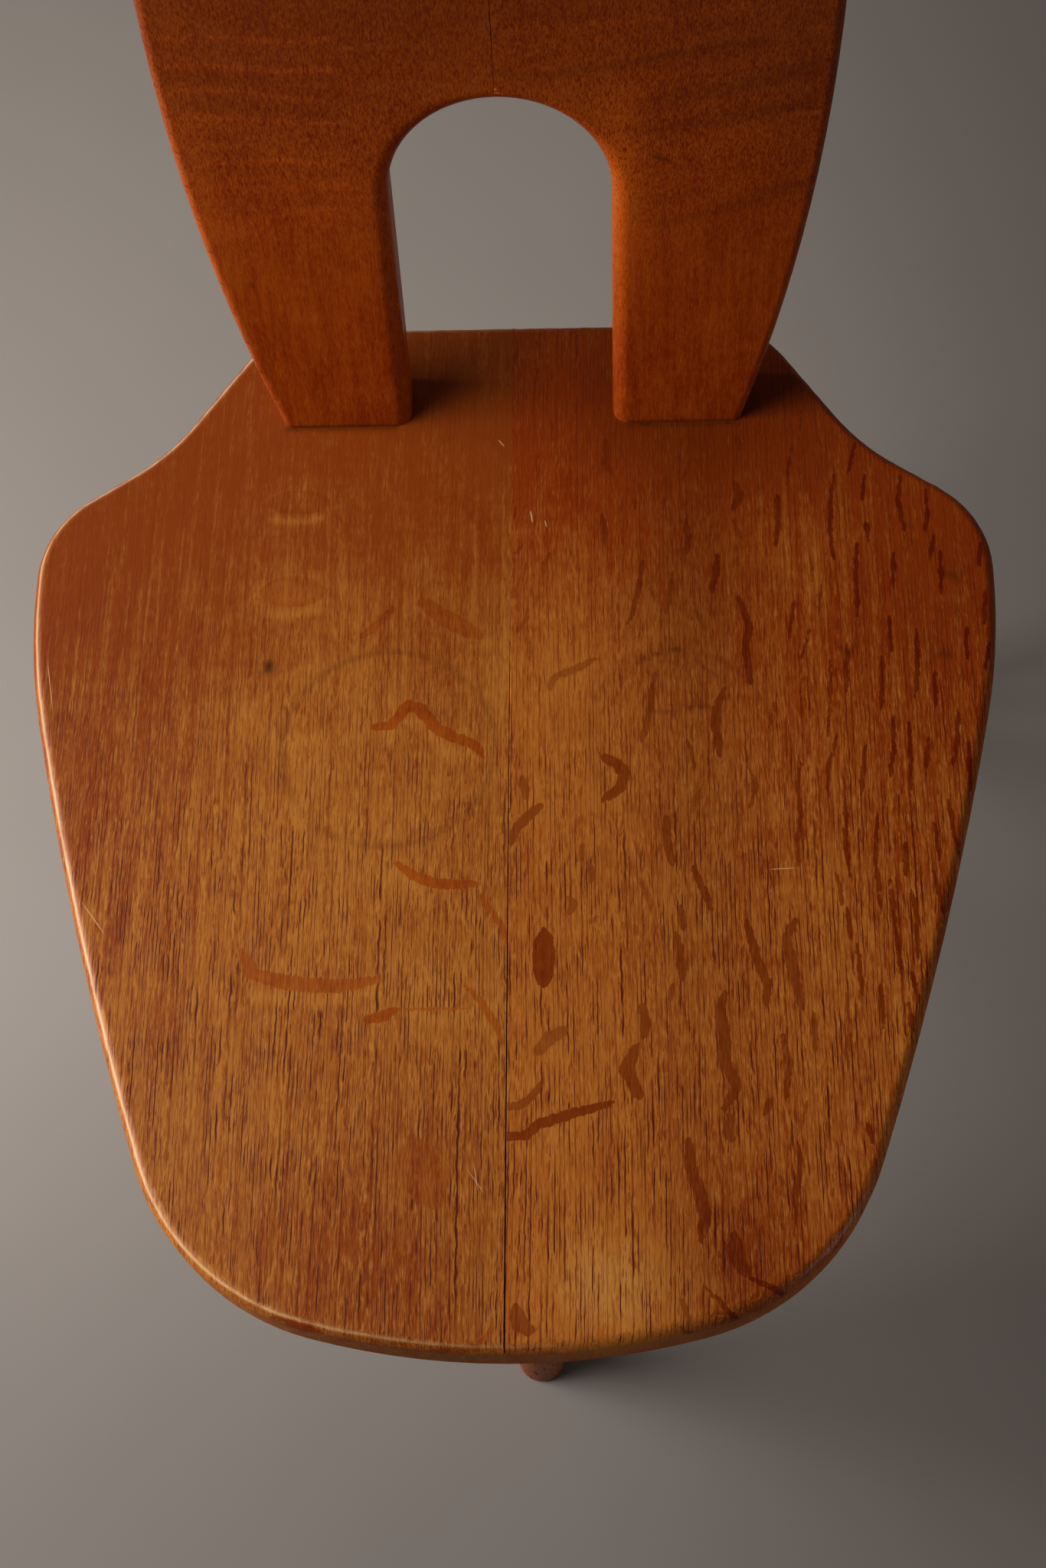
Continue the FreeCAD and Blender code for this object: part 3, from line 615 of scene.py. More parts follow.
LEFT_FLECKS = [
    Fleck(6, 0.8, [(-103, -93), (-99, -102), (-85, -106), (-70, -107.5), (-60, -107), (-50, -105)]),
    Fleck(4.5, 1, [(-54, -121), (-48, -120), (-42, -117)]),
    Fleck(1.4, 0.8, [(-40, -117), (-28, -117), (-15, -117)]),
    Fleck(3, 0.8, [(-16, -108), (-10, -114), (-4, -124), (-1, -131)]),
    Fleck(4.5, 1, [(-44, -57), (-36, -63), (-27, -66), (-12, -66)]),
    Fleck(3, 0.8, [(-11, -70), (-7, -77), (-2, -84), (0, -91)]),
    Fleck(5.2, 1, [(-56, 2), (-48, 3), (-41, 12), (-36, 10), (-30, 2), (-22, -3), (-14, -6), (-10, -12)]),
    Fleck(1.2, 0.8, [(-70, 15), (-74, 3)]),
    Fleck(4, 0.7, [(-62, 43), (-54, 50), (-48, 57)]),
    Fleck(8, 0.65, [(-37, 60), (-29, 53), (-21, 48), (-12, 43)]),
    Fleck(12, 0.5, [(-101, 108), (-90, 108), (-79, 108)]),
    Fleck(15, 0.5, [(-102, 65), (-90, 65), (-79, 65)]),
    Fleck(16, 0.5, [(-35, -169), (-31, -180), (-26, -191)]),
    Fleck(7, 0.35, [(-32, 108), (-20, 108), (-12, 97), (-8, 82), (-4, 70)]),
    Fleck(3, 1, [(-82, -231), (-75, -235), (-66, -238)]),
    Fleck(2, 0.8, [(-30, -245), (-10, -243), (-5, -238), (-3, -230)]),
]

# Soft areas of a board's face: the middle (x, y), how far each reaches, and how much more golden and how much
# darker it is
Patch = namedtuple("Patch", "x y wide deep gold dark")
SEAT_PATCHES = [
    # Redder and darker towards the back: patina, and partly painted shade next to the back
    Patch(0, 190, 300, 150, -0.9, 0.2),
    # Darker at the rear right: partly painted shade beside the back's right foot
    Patch(90, 138, 55, 40, -0.15, 0.34),
    Patch(75, 60, 28, 40, 0, 0.22),
    Patch(-190, 60, 80, 120, -0.35, 0.18),
    Patch(-75, -30, 45, 70, 0.5, 0),
    Patch(-90, -140, 50, 50, 0.1, 0),
    Patch(-125, -150, 30, 50, 0.1, 0.08),
    Patch(-25, -110, 22, 18, 0.4, 0),
    Patch(15, 10, 35, 60, 0.5, 0),
    Patch(25, -90, 30, 100, 0.45, 0.04),
    Patch(20, -175, 30, 30, 0.3, 0),
    Patch(38, -222, 32, 22, 1.8, 0),
    Patch(-45, -215, 50, 40, -0.35, 0.05),
    Patch(-90, 108, 15, 9, 0.5, 0),
    Patch(-90, 65, 15, 10, 0.45, 0),
    # Painted light: paler and more golden between the back's feet, easing their shade
    Patch(0, 185, 60, 22, 0.3, -0.12),
    Patch(75, 10, 20, 230, 0.25, 0.22),
    Patch(85, -222, 28, 30, -0.6, 0.25),
    Patch(190, 20, 80, 200, -0.2, 0),
    Patch(180, 65, 40, 45, -0.3, 0.12),
    Patch(126, -100, 24, 60, 0.4, 0),
    Patch(122, 82, 24, 30, 0.35, 0),
    Patch(20, 55, 30, 35, 0.3, 0),
    Patch(-80, 55, 40, 40, 0.18, 0),
    Patch(-45, -62, 14, 8, 0.3, 0),
    # Painted shadow on the seat between the back's feet, beside the right foot
    Patch(45, 168, 16, 28, 0, 0.35),
    Patch(-112, 10, 14, 12, 0.35, 0),
]

# Lines on a board's face: how far each reaches to its sides, how strong it is, and its course.
# Ripples are more golden than the wood around them. Streaks are darker or, below zero, paler.
Streak = namedtuple("Streak", "width amount line")
SEAT_RIPPLES = [
    Streak(2.5, 0.5, [(-97, -111.5), (-80, -112.5), (-62, -112.5), (-48, -108)]),
    Streak(4, 0.4, [(-46, -58), (-38, -65), (-34, -71)]),
    Streak(3, 0.3, [(-36, -120), (-18, -120), (-8, -126), (-2, -134)]),
    Streak(3, 0.35, [(-48, -1), (-41, 6), (-33, 3), (-26, -9), (-14, -11)]),
    Streak(2, 0.5, [(-101, 100), (-90, 98), (-80, 100)]),
    Streak(2, 0.45, [(-100, 55), (-90, 54), (-80, 56)]),
    Streak(3, 0.4, [(-98, -2), (-90, -5), (-80, -3)]),
    Streak(1.6, -0.35, [(-77, 126), (-72, 136), (-60, 143), (-45, 146)]),
    Streak(1.6, -0.3, [(-22, 143), (-10, 139), (-3, 132)]),
    Streak(3, 0.3, [(0, -150), (8, -148), (14, -140), (22, -132)]),
    Streak(4, 0.35, [(2, -172), (14, -169), (28, -164), (42, -160)]),
    Streak(3, 0.3, [(30, -34), (40, -33), (48, -26), (50, -18)]),
    Streak(3, 0.3, [(10, 18), (22, 20), (34, 26)]),
]
SEAT_STREAKS = [
    Streak(2, 1.1, [(-99, 31), (-99, 29)]),
    Streak(2.6, 0.5, [(180, 69), (184, 69)]),
    Streak(1.8, 0.5, [(174, 32), (178, 32)]),
    Streak(0.9, 0.4, [(52, 30), (60, 34), (69, 36)]),
    Streak(0.9, 0.35, [(58, 7), (70, 9), (80, 10)]),
    Streak(0.9, 0.35, [(76, 30), (83, 24)]),
    Streak(1, 0.5, [(133, 37), (137, 33), (140, 36)]),
    # Painted contact shadow along the seat in front of the back's feet
    Streak(1, 0.7, [(-97, 144.6), (-50, 144.6)]),
    Streak(1, 0.7, [(50, 144.6), (97, 144.6)]),
]

# Rings that cups have left: the middle (x, y), the radius and how dark each is
CupRing = namedtuple("CupRing", "x y radius amount")
CUP_RINGS = [CupRing(-49, -7, 43, 0.3), CupRing(68, -2, 37, 0.15)]
CUP_RING_WIDTH = 1.4

# Lines and soft areas of the back, where places are across (x) and up the face from the seat
BACK_STREAKS = [
    Streak(0.9, -0.29, [(-119, 193), (-95, 193), (-75, 190), (-60, 191)]),
    Streak(1.1, -0.39, [(-119, 181), (-100, 181), (-80, 178), (-58, 178)]),
    Streak(0.9, -0.29, [(-117, 171), (-95, 170), (-78, 167), (-63, 165)]),
    Streak(0.9, -0.29, [(-112, 159), (-95, 158), (-78, 156), (-60, 155)]),
    Streak(1.2, -0.26, [(-113, 138), (-100, 138), (-80, 139), (-66, 136), (-56, 139)]),
    Streak(3.5, -0.14, [(-112, 127), (-60, 127)]),
    Streak(1.4, -0.26, [(-112, 109), (-95, 112), (-80, 114), (-62, 116)]),
    Streak(5, -0.13, [(-110, 106), (-92, 108), (-70, 111)]),
    Streak(4, 0.18, [(-118, 176), (-85, 174), (-60, 171)]),
    Streak(4, 0.18, [(-116, 165), (-85, 163), (-62, 160)]),
    Streak(1, -0.13, [(-80, 176), (-60, 174.5)]),
    Streak(1, -0.13, [(-78, 172), (-62, 171)]),
    Streak(2, 0.25, [(2, 175), (20, 174), (42, 177), (70, 182), (98, 186)]),
    Streak(1.5, -0.13, [(4, 192), (30, 193), (60, 196), (90, 201)]),
    Streak(3, 0.22, [(52, 148), (80, 152), (116, 160)]),
    Streak(3, 0.2, [(60, 116), (76, 121)]),
    Streak(3, 0.25, [(64, 106), (85, 112), (116, 123)]),
    Streak(4, 0.2, [(60, 162), (90, 167), (120, 176)]),
    Streak(1, 0.7, [(60, 136.5), (64, 135.5)]),
    Streak(1.2, 0.8, [(-102, 79.5), (-102, 78.5)]),
    Streak(0.6, -0.8, [(36, 187), (39, 189)]),
    Streak(0.6, -0.39, [(71, 109.5), (73, 111)]),
    # Painted contact shadow along the foot of the back, where it meets the seat
    Streak(0.9, 0.9, [(-97, 0.3), (-50, 0.3)]),
    Streak(0.9, 0.9, [(50, 0.3), (97, 0.3)]),
]
BACK_PATCHES = [
    Patch(0, 0, 160, 60, -0.2, 0),
    # Darker towards the top of the back: partly darker wood, partly painted shade
    Patch(0, 260, 250, 115, 0.1, 0.8),
    Patch(125, 140, 40, 110, 0, 0.3),
    # Golden along the back's left edge: partly wear, partly a painted highlight
    Patch(-118, 130, 10, 90, 0.3, 0),
    # Painted highlight on the round of the right foot's inner edge, which faces the light
    Patch(46, 112, 8, 42, 0.7, -0.35),
    Patch(20, 165, 30, 14, 0.25, 0),
]

FLECK_REACH = 3.0
FLECK_END_SHARE = 0.4
FLECK_BLUNTNESS = 0.5
STREAK_REACH = 3.0


def along_line(points, line, reach):
    """For the points near a line: their distance from it, their share of its length, and which they are."""
    line = np.array(line, float)
    inside = (points > line.min(0) - reach).all(1) & (points < line.max(0) + reach).all(1)
    near = np.flatnonzero(inside)
    distance = np.full(len(near), np.inf)
    share = np.zeros(len(near))
    runs = np.linalg.norm(np.diff(line, axis=0), axis=1)
    starts = np.cumsum(runs) - runs
    for start, end, run, before in zip(line[:-1], line[1:], runs, starts):
        along = np.clip((points[near] - start) @ (end - start) / run ** 2, 0, 1)
        away = np.linalg.norm(points[near] - start - along[:, None] * (end - start), axis=1)
        closer = away < distance
        distance[closer] = away[closer]
        share[closer] = ((before + along * run) / runs.sum())[closer]
    return distance, share, near


def fleck_depths(points, flecks):
    """How far each point lies inside the nearest fleck, below zero outside, and how strong that fleck is."""
    depths = np.full(len(points), -FLECK_REACH)
    strengths = np.zeros(len(points))
    for fleck in flecks:
        distance, share, near = along_line(points, fleck.line, fleck.width / 2 + FLECK_REACH)
        swell = FLECK_END_SHARE + (1 - FLECK_END_SHARE) * np.sin(math.pi * share) ** FLECK_BLUNTNESS
        depth = fleck.width / 2 * swell - distance
        better = depth > depths[near]
        depths[near[better]] = depth[better]
        strengths[near[better]] = fleck.strength
    return depths, strengths


def patched(points, patches):
    """How golden and how dark the soft areas make each point."""
    gold = np.zeros(len(points))
    dark = np.zeros(len(points))
    for patch in patches:
        off = (points - (patch.x, patch.y)) / (patch.wide, patch.deep)
        share = np.exp(-(off ** 2).sum(1))
        gold += patch.gold * share
        dark += patch.dark * share
    return gold, dark


def streaked(points, streaks):
    """The sum of soft lines at each point."""
    tone = np.zeros(len(points))
    for streak in streaks:
        distance, _, near = along_line(points, streak.line, STREAK_REACH * streak.width)
        tone[near] += streak.amount * np.exp(-(distance / streak.width) ** 2)
    return tone


def cup_rings(points):
    """Faint rings that wet cups have left."""
    tone = np.zeros(len(points))
    for ring in CUP_RINGS:
        off = np.linalg.norm(points - (ring.x, ring.y), axis=1) - ring.radius
        tone += ring.amount * np.exp(-(off / CUP_RING_WIDTH) ** 2)
    return tone


def placed(name, data):
    """A new object in the scene."""
    piece = bpy.data.objects.new(name, data)
    bpy.context.scene.collection.objects.link(piece)
    return piece


# Boards: copies of the CAD nodes' meshes, cut fine enough to hold the marks

MERGE_DISTANCE = 0.001
SMOOTH_ANGLE = 60.0
ON_JOINT = 0.01
BY_JOINT = 1.0


def copied_board(node):
    """A copy of a CAD node's mesh, its loose triangles merged."""
    shape = bmesh.new()
    shape.from_mesh(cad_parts[node].data)
    bmesh.ops.remove_doubles(shape, verts=shape.verts, dist=MERGE_DISTANCE * MM)
    shape.normal_update()
    return shape


def corners(faces):
    """The vertices of faces, each once."""
    return {vert for face in faces for vert in face.verts}


def with_corners(faces):
    """Faces with their edges and vertices, as the cutting operator takes them."""
    return [*{part for face in faces for part in (*face.verts, *face.edges)}, *faces]


def halve(shape, faces, across, low, step, first, last):
    """Cut faces at every step across a direction, the middle step first."""
    if last - first < 2 or not faces:
        return faces
    middle = (first + last) // 2
    level = low + middle * step
    cut = bmesh.ops.bisect_plane(shape, geom=with_corners(faces), plane_co=across * level, plane_no=across)
    pieces = [part for part in cut["geom"] if isinstance(part, bmesh.types.BMFace)]
    below = [face for face in pieces if across.dot(face.calc_center_median()) < level]
    above = [face for face in pieces if across.dot(face.calc_center_median()) >= level]
    below = halve(shape, below, across, low, step, first, middle)
    above = halve(shape, above, across, low, step, middle, last)
    return below + above


def cut_fine(shape, faces, across, spacing):
    """Cut faces into strips no wider than the spacing."""
    places = [across.dot(vert.co) for face in faces for vert in face.verts]
    count = math.ceil((max(places) - min(places)) / (spacing * MM))
    step = (max(places) - min(places)) / count
    return halve(shape, faces, across, min(places), step, 0, count)


def finished_board(shape, name, node, material):
    """Make a shape the piece that stands for a CAD node."""
    mesh = bpy.data.meshes.new(name)
    shape.to_mesh(mesh)
    shape.free()
    if "custom_normal" in mesh.attributes:
        mesh.attributes.remove(mesh.attributes["custom_normal"])
    mesh.materials.clear()
    mesh.materials.append(material)
    mesh.shade_smooth()
    mesh.set_sharp_from_angle(angle=math.radians(SMOOTH_ANGLE))
    board = placed(name, mesh)
    board.modifiers.new("flat faces stay flat", "WEIGHTED_NORMAL").keep_sharp = True
    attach(board, "root")
    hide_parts(node)
    return board


def mark(board, **marks):
    """Store numbers for each vertex of a board, which its finish reads."""
    for name, values in marks.items():
        attribute = board.data.attributes.new(name, "FLOAT", "POINT")
        attribute.data.foreach_set("value", np.asarray(values, np.float32))


def vertex_places(board):
    """The places of a board's vertices in millimetres, one row each."""
    places = np.zeros(len(board.data.vertices) * 3, np.float32)
    board.data.vertices.foreach_get("co", places)
    return places.reshape(-1, 3).astype(float) / MM


# Seat. Pairs of lists say how a value changes over a distance.
SEAT_FACES_UP = 0.1
SEAT_FACE_DEPTH = 10.0
SIDE_BELOW_TOP = ([1, 4.5], [0, 1])
SEAM_OPENING = 0.32
SEAM_DEPTH = 5.0
SEAM_CLOSES = ([20, 70], [1, 0])
JOINT_FACES = 0.99
RIM_WEAR = 0.35
RIM_WEAR_SIZE = 5.0
RIM_TURNS = (0.1, 0.98)
# Where the pale rim line lies, on the left side only: partly wear, partly a painted highlight
RIM_WEAR_HIGHLIGHT_DEPTH = 0.9
RIM_WEAR_HIGHLIGHT_WIDTH = 0.4
RIM_WEAR_HIGHLIGHT_ACROSS = ([-90, 30], [1, 0])
STREAKY_ACROSS = ([-140, -30, 90, 130], [0.9, 0.3, 0, 1])

# What sets the two boards apart. Open grain changes from front to back, and spacing is that of the cuts
# across the board and along it.
SeatBoard = namedtuple(
    "SeatBoard", "name side flecks fleck_tint stain coarse_pores fine_pores open_grain spacing")
LEFT_SEAT_BOARD = SeatBoard(
    name="left", side=-1, flecks=LEFT_FLECKS, fleck_tint=(0.76, 0.45, 0.18, 1),
    stain=Stain(srgb(170, 104, 37), srgb(130, 54, 8)),
    coarse_pores=PoreRows(1.7, 0.46, 16, 0.8), fine_pores=PoreRows(0.95, 0.33, 5, 0.58),
    open_grain=([-170, -60, 10, 90], [1, 0.95, 0.7, 0.22]), spacing=(1.5, 1.5))
RIGHT_SEAT_BOARD = SeatBoard(
    name="right", side=1, flecks=RIGHT_FLECKS, fleck_tint=(0.47, 0.25, 0.08, 1),
    stain=Stain(srgb(170, 98, 33), srgb(132, 47, 3)),
    coarse_pores=PoreRows(1.9, 0.48, 20, 0.86), fine_pores=PoreRows(0.83, 0.32, 5, 0.6),
    open_grain=([-200, -60, 80], [1, 0.95, 0.55]), spacing=(0.8, 2))


def wear_rim(faces):
    """Rub the round edges unevenly inwards, as hands and knees do."""
    steepest, flattest = RIM_TURNS
    for vert in corners(faces):
        if steepest < vert.normal.z < flattest and abs(vert.co.x) > BY_JOINT * MM:
            rub = 0.5 + 0.5 * noise.noise(vert.co / (RIM_WEAR_SIZE * MM))
            steep = 4 * vert.normal.z * (1 - vert.normal.z)
            vert.co -= vert.normal * (RIM_WEAR * rub * steep * MM)


def open_seam(shape, side):
    """Let the edge joint gape a little at the top, all but at the rear."""
    level = Vector((0, 0, SEAT_LEVEL - SEAM_DEPTH)) * MM
    square = [face for face in shape.faces if abs(face.normal.x) > JOINT_FACES]
    joint = [face for face in square if abs(face.calc_center_median().x) < BY_JOINT * MM]
    bmesh.ops.bisect_plane(shape, geom=with_corners(joint), plane_co=level, plane_no=UP)
    for vert in shape.verts:
        if abs(vert.co.x) < ON_JOINT * MM and vert.co.z > level.z + BY_JOINT * MM:
            vert.co.x += side * np.interp(vert.co.y / MM, *SEAM_CLOSES) * SEAM_OPENING * MM


def rim_wear_and_highlight_share(places):
    """How much of the rim's pale line each vertex carries: a thin line at the top of the rim's round, on the
    left, partly wear and partly a painted highlight.
    """
    below_top = SEAT_LEVEL - places[:, 2]
    on_line = np.exp(-((below_top - RIM_WEAR_HIGHLIGHT_DEPTH) / RIM_WEAR_HIGHLIGHT_WIDTH) ** 2)
    return on_line * np.interp(places[:, 0], *RIM_WEAR_HIGHLIGHT_ACROSS)


def seat_plank(board):
    """One board of the seat, with its rubbed rim, open seam and marks."""
    node = "seat_board_" + board.name
    shape = copied_board(node)
    top = [face for face in shape.faces if face.normal.z > SEAT_FACES_UP]
    top = cut_fine(shape, top, TO_THE_RIGHT, board.spacing[0])
    top = cut_fine(shape, top, TO_THE_BACK, board.spacing[1])
    shape.normal_update()
    wear_rim(top)
    open_seam(shape, board.side)
    plank = finished_board(shape, "seat_plank_" + board.name, node, seat_oak(board))
    places = vertex_places(plank)
    face = places[:, :2]
    on_top = places[:, 2] > SEAT_LEVEL - SEAT_FACE_DEPTH
    depths, strengths = fleck_depths(face, board.flecks)
    gold, dark = patched(face, SEAT_PATCHES)
    gold += streaked(face, SEAT_RIPPLES)
    dark += streaked(face, SEAT_STREAKS) + cup_rings(face)
    mark(plank,
         side=np.interp(SEAT_LEVEL - places[:, 2], *SIDE_BELOW_TOP),
         fleck=np.where(on_top, depths, -FLECK_REACH),
         fleck_strength=np.where(on_top, strengths, 0.0),
         open_grain=np.interp(face[:, 1], *board.open_grain),
         worn=rim_wear_and_highlight_share(places),
         streaky=np.interp(face[:, 0], *STREAKY_ACROSS),
         gold=np.where(on_top, gold, 0.0),
         dark=np.where(on_top, dark, 0.0))


seat_plank(LEFT_SEAT_BOARD)
seat_plank(RIGHT_SEAT_BOARD)


# Back. Its round edges are found by how their facets turn from its face and how deep in the round they lie.
BACK_SEAM_OPENING = 0.12
BACK_EDGE_ROUND = 4.0
ROUND_SPACING = 1.0
ROUND_TURNS = (0.02, 0.9995)
ROUND_DEPTHS = (0.995, 1.01)
FACES_DOWN = -0.9
LONG_FACET = 2.0
ARCH_REACH = 62.0
ARCH_TOP = 600.0
BACK_FACE = 0.999
BACK_FACE_FROM = 420.0
BACK_FACE_DEPTH = 8.0
BACK_SPACING = (2, 1.25)
BACK_OPEN_GRAIN = ([80, 140], [0.25, 1])

# What sets the two boards apart: among others, the slope of the bands and how strong the fine dashes are
BackBoard = namedtuple("BackBoard", "name side stain figure_slope stroke_depth")
LEFT_BACK_BOARD = BackBoard("left", -1, Stain(srgb(164, 74, 13), srgb(108, 23, 0)), 4, 0.85)
RIGHT_BACK_BOARD = BackBoard("right", 1, Stain(srgb(166, 74, 12), srgb(110, 23, 0)), -9, 1)


def true_round(shape, out):
    """Cut the long facets of the back's outer round edge, and put them on the true round."""
    level = max(out.dot(vert.co) for vert in shape.verts)
    radius = BACK_EDGE_ROUND * MM
    rim_depth, deepest = [share * radius for share in ROUND_DEPTHS]

    def on_round(face):
        middle = face.calc_center_median()
        by_arch = abs(middle.x) < ARCH_REACH * MM and middle.z < ARCH_TOP * MM
        shallow = all(level - out.dot(vert.co) < deepest for vert in face.verts)
        turned = ROUND_TURNS[0] < face.normal.dot(out) < ROUND_TURNS[1] and face.normal.z > FACES_DOWN
        return turned and shallow and not by_arch

    def on_face(vert):
        return vert.co.x, BACK_UP.dot(vert.co)

    rounds = [face for face in shape.faces if on_round(face)]
    edges = {edge for face in rounds for edge in face.edges}
    rim = [edge for edge in edges if all(level - out.dot(vert.co) > rim_depth for vert in edge.verts)]
    outline = [[on_face(vert) for vert in edge.verts] for edge in rim]
    long = [face for face in rounds if face.calc_area() > LONG_FACET * MM ** 2]
    long = cut_fine(shape, long, TO_THE_RIGHT, ROUND_SPACING)
    long = cut_fine(shape, long, BACK_UP, ROUND_SPACING)
    verts = list(corners(long))
    points = np.array([on_face(vert) for vert in verts])
    inset = np.full(len(verts), radius)
    for line in outline:
        distance, _, near = along_line(points, line, radius)
        inset[near] = np.minimum(inset[near], distance)
    drops = radius - np.sqrt(radius ** 2 - (radius - inset) ** 2)
    for vert, drop in zip(verts, drops):
        vert.co += out * (level - out.dot(vert.co) - drop)
        vert.co.y = min(vert.co.y, cad_box[1][1])
    shape.normal_update()


def back_plank(board):
    """One board of the back, with its open seam and marks."""
    node = "back_board_" + board.name
    shape = copied_board(node)
    true_round(shape, BACK_FRONT)
    true_round(shape, -BACK_FRONT)
    front = [face for face in shape.faces if face.normal.dot(BACK_FRONT) > BACK_FACE]
    front = [face for face in front if face.calc_center_median().z > BACK_FACE_FROM * MM]
    front = cut_fine(shape, front, TO_THE_RIGHT, BACK_SPACING[0])
    front = cut_fine(shape, front, BACK_UP, BACK_SPACING[1])
    for vert in corners(front):
        if abs(vert.co.x) < ON_JOINT * MM:
            vert.co.x += board.side * BACK_SEAM_OPENING * MM
    plank = finished_board(shape, "back_plank_" + board.name, node, back_oak(board))
    places = vertex_places(plank)
    foot = np.array([0.0, BACK_FOOT, SEAT_LEVEL])
    face = np.stack([places[:, 0], (places - foot) @ np.array(BACK_UP)], axis=1)
    on_front = (places - foot) @ np.array(BACK_FRONT) > -BACK_FACE_DEPTH
    gold, dark = patched(face, BACK_PATCHES)
    dark += streaked(face, BACK_STREAKS)
    mark(plank,
         open_grain=np.interp(face[:, 1], *BACK_OPEN_GRAIN),
         gold=np.where(on_front, gold, 0.0),
         dark=np.where(on_front, dark, 0.0))


back_plank(LEFT_BACK_BOARD)
back_plank(RIGHT_BACK_BOARD)


# The CAD nodes that stay

LEG_STAIN = Stain(srgb(152, 78, 22), srgb(112, 46, 8))
LEG_ROUGHNESS = 0.42
BATTEN_STAIN = Stain(srgb(150, 92, 44), srgb(112, 60, 22))
BATTEN_ROUGHNESS = 0.55
WEDGE_STAIN = Stain(srgb(138, 84, 40), srgb(96, 52, 20))
WEDGE_ROUGHNESS = 0.6


def dress_frame():
    """Give the legs, battens, wedges, keys and dowels their finishes."""
    leg_wood = plain_oak("leg_oak", ALONG_Z, LEG_STAIN, LEG_ROUGHNESS)
    batten_wood = plain_oak("batten_oak", ALONG_X, BATTEN_STAIN, BATTEN_ROUGHNESS)
    wedge_wood = plain_oak("wedge_oak", ALONG_Z, WEDGE_STAIN, WEDGE_ROUGHNESS)
    dowel_wood = plain_beech("dowel_beech")
    for name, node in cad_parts.items():
        if "dowel" in name:
            wood = dowel_wood
        elif "wedge" in name or "key" in name:
            wood = wedge_wood
        elif "batten" in name:
            wood = batten_wood
        else:
            wood = leg_wood
        node.data.materials.clear()
        node.data.materials.append(wood)


dress_frame()


# Studio: floor, soft lights, room light and camera

FLOOR_SIZE = 12000.0
FLOOR_CAST = Pattern(260, 260, 260, 3, 0.6)
FLOOR_GREY = srgb(139, 129, 121)
FLOOR_PALE_GREY = srgb(147, 137, 128)
# Painted shade on the floor: its tint and where it falls
FLOOR_SHADE_TINT = (0.64, 0.64, 0.64, 1)
FLOOR_SHADE_FRONT = (120, -300)
FLOOR_SHADE_RIGHT = (0, 450)
FLOOR_SHADE_REAR = (50, 600)
FLOOR_FAR = srgb(226, 222, 217)
FLOOR_GETS_FAR = (900, 2500)
FLOOR_ROUGHNESS = 0.7
FLOOR_GLOSS = 0.3
FLOOR_RELIEF = 0.05
SoftLight = namedtuple("SoftLight", "place width watts")
WINDOW = SoftLight((-1050, 0, 1280), 1000, 22)
LOW_WINDOW = SoftLight((-1200, -60, 660), 600, 12)
SOFT_LIGHT_AIM = (-60, -20, 420)
REAR_LIGHT_FROM = (-0.5, 1, 0.08)
REAR_LIGHT = 0.5
RIGHT_LIGHT_FROM = (1, -0.5, 0.07)
RIGHT_LIGHT = 0.5
FAR_LIGHT_SPREAD = 15.0
ROOM_COLOUR = srgb(236, 232, 228)
ROOM_LIGHT = 0.08
ROOM_SEEN = 0.4


def floor():
    """A plain floor with painted shade, a little darker in front of the chair and behind it on the right. It
    is paler far away.
    """
    plain = Finish("floor_plain")
    cast = plain.cloud(FLOOR_CAST)
    colour = plain.mix(cast, FLOOR_GREY, FLOOR_PALE_GREY)
    x, y, _ = plain.parts(plain.place)

    def fade(value, ends):
        return plain.band(value, ends[0] * MM, ends[1] * MM)

    # Painted shade in front of the chair and behind it on the right
    colour = plain.tinted(fade(y, FLOOR_SHADE_FRONT), colour, FLOOR_SHADE_TINT)
    rear_right = plain.times(fade(x, FLOOR_SHADE_RIGHT), fade(y, FLOOR_SHADE_REAR))
    colour = plain.tinted(rear_right, colour, FLOOR_SHADE_TINT)
    distance = plain.add("ShaderNodeVectorMath", operation="LENGTH")
    plain.feed(distance.inputs[0], plain.place)
    colour = plain.mix(fade(distance.outputs["Value"], FLOOR_GETS_FAR), colour, FLOOR_FAR)
    plain.finish(colour, FLOOR_ROUGHNESS, FLOOR_GLOSS, cast, FLOOR_RELIEF)
    shape = bmesh.new()
    bmesh.ops.create_grid(shape, x_segments=2, y_segments=2, size=FLOOR_SIZE / 2 * MM)
    mesh = bpy.data.meshes.new("floor")
    shape.to_mesh(mesh)
    shape.free()
    mesh.materials.append(plain.material)
    placed("floor", mesh)


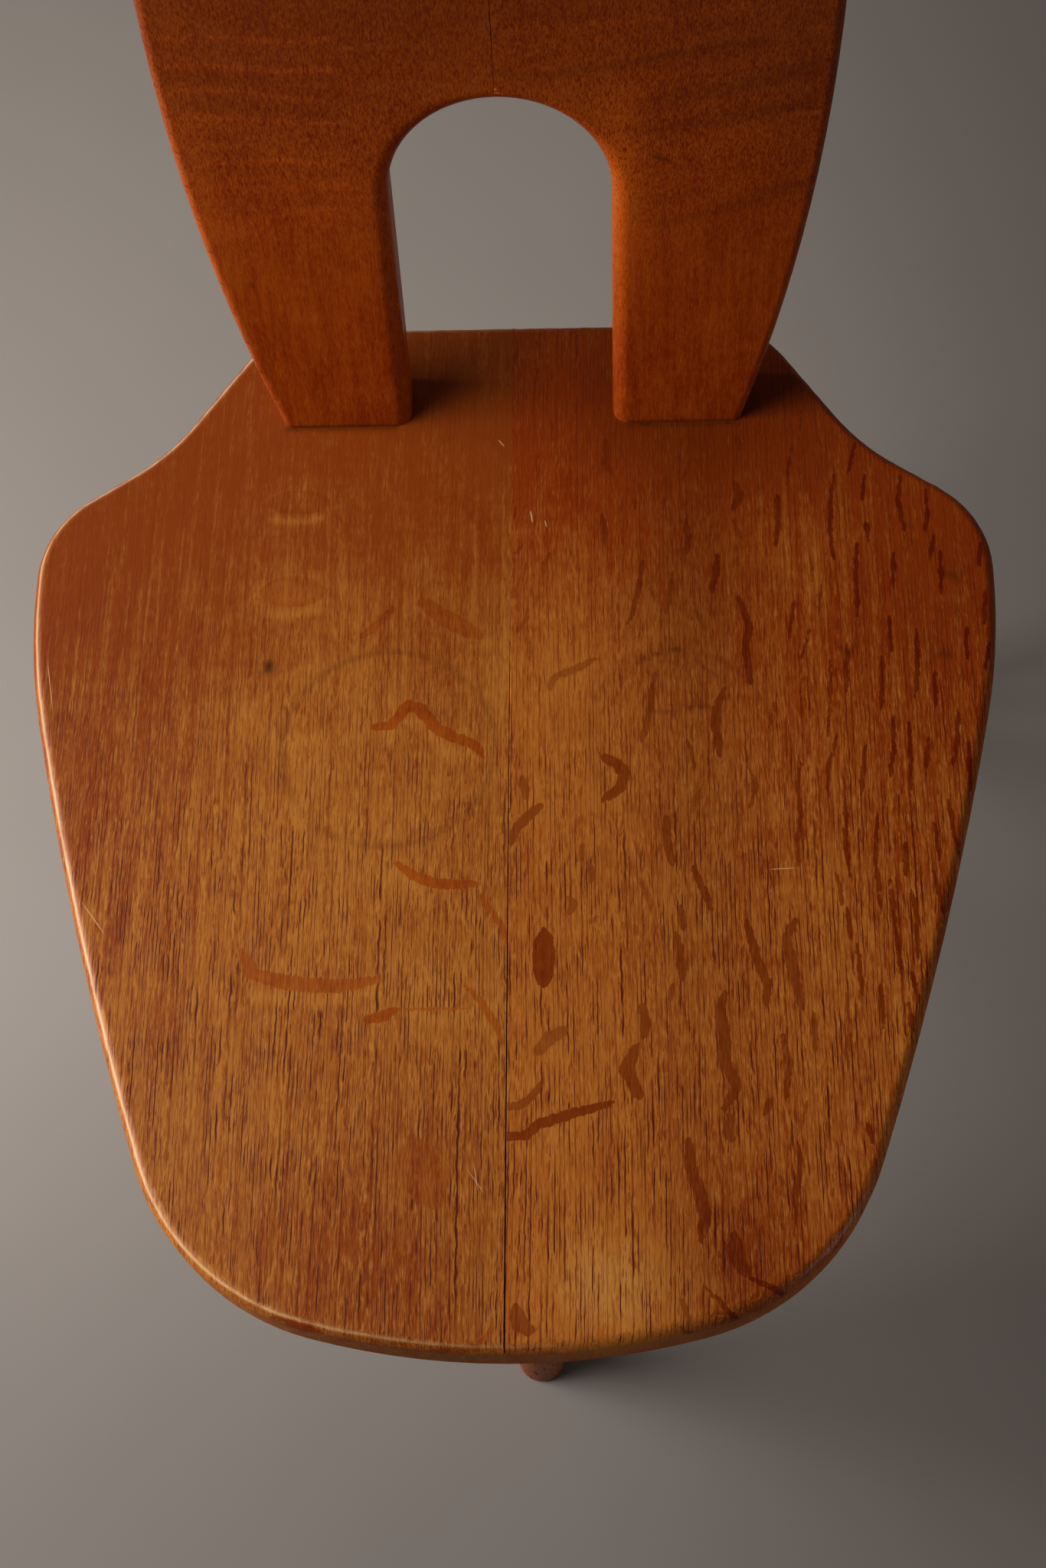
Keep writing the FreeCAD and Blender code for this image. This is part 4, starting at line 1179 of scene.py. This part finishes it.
def soft_light(name, light):
    """A square soft light, aimed at the chair."""
    lamp = bpy.data.lights.new(name, "AREA")
    lamp.shape = "SQUARE"
    lamp.size = light.width * MM
    lamp.energy = light.watts
    window = placed(name, lamp)
    window.location = Vector(light.place) * MM
    aim = Vector(SOFT_LIGHT_AIM) - Vector(light.place)
    window.rotation_euler = aim.to_track_quat("-Z", "Y").to_euler()
    window.visible_camera = False


def far_light(name, comes_from, strength):
    """A broad light from far away, low above the floor, for the sides that the windows leave dark."""
    lamp = bpy.data.lights.new(name, "SUN")
    lamp.energy = strength
    lamp.angle = math.radians(FAR_LIGHT_SPREAD)
    turn = Vector(comes_from).to_track_quat("Z", "Y").to_euler()
    placed(name, lamp).rotation_euler = turn


def room_light():
    """Even light from all around, in a room that looks paler than the light it gives."""
    world = bpy.data.worlds.new("room")
    world.use_nodes = True
    background = world.node_tree.nodes["Background"]
    background.inputs["Color"].default_value = ROOM_COLOUR
    strength = world.node_tree.nodes.new("ShaderNodeMapRange")
    strength.inputs["To Min"].default_value = ROOM_LIGHT
    strength.inputs["To Max"].default_value = ROOM_SEEN
    path = world.node_tree.nodes.new("ShaderNodeLightPath")
    world.node_tree.links.new(path.outputs["Is Camera Ray"], strength.inputs["Value"])
    world.node_tree.links.new(strength.outputs[0], background.inputs["Strength"])
    bpy.context.scene.world = world


def camera():
    """The camera that took the photograph, worked out from the chair's outline in it."""
    data = bpy.data.cameras.new("camera")
    data.lens = CAMERA_LENS
    data.sensor_width = CAMERA_LONG_SIDE
    piece = placed("camera", data)
    turn = Matrix.Rotation(math.radians(CAMERA_TO_THE_LEFT), 4, "Z")
    tilt = Matrix.Rotation(math.radians(90 - CAMERA_BELOW_HORIZON), 4, "X")
    roll = Matrix.Rotation(math.radians(CAMERA_ROLL), 4, "Z")
    piece.matrix_world = Matrix.Translation(Vector(CAMERA_PLACE) * MM) @ turn @ tilt @ roll
    bpy.context.scene.camera = piece


floor()
soft_light("window", WINDOW)
soft_light("low_window", LOW_WINDOW)
far_light("rear_light", REAR_LIGHT_FROM, REAR_LIGHT)
far_light("right_light", RIGHT_LIGHT_FROM, RIGHT_LIGHT)
room_light()
camera()
bpy.context.scene.view_settings.view_transform = "Standard"
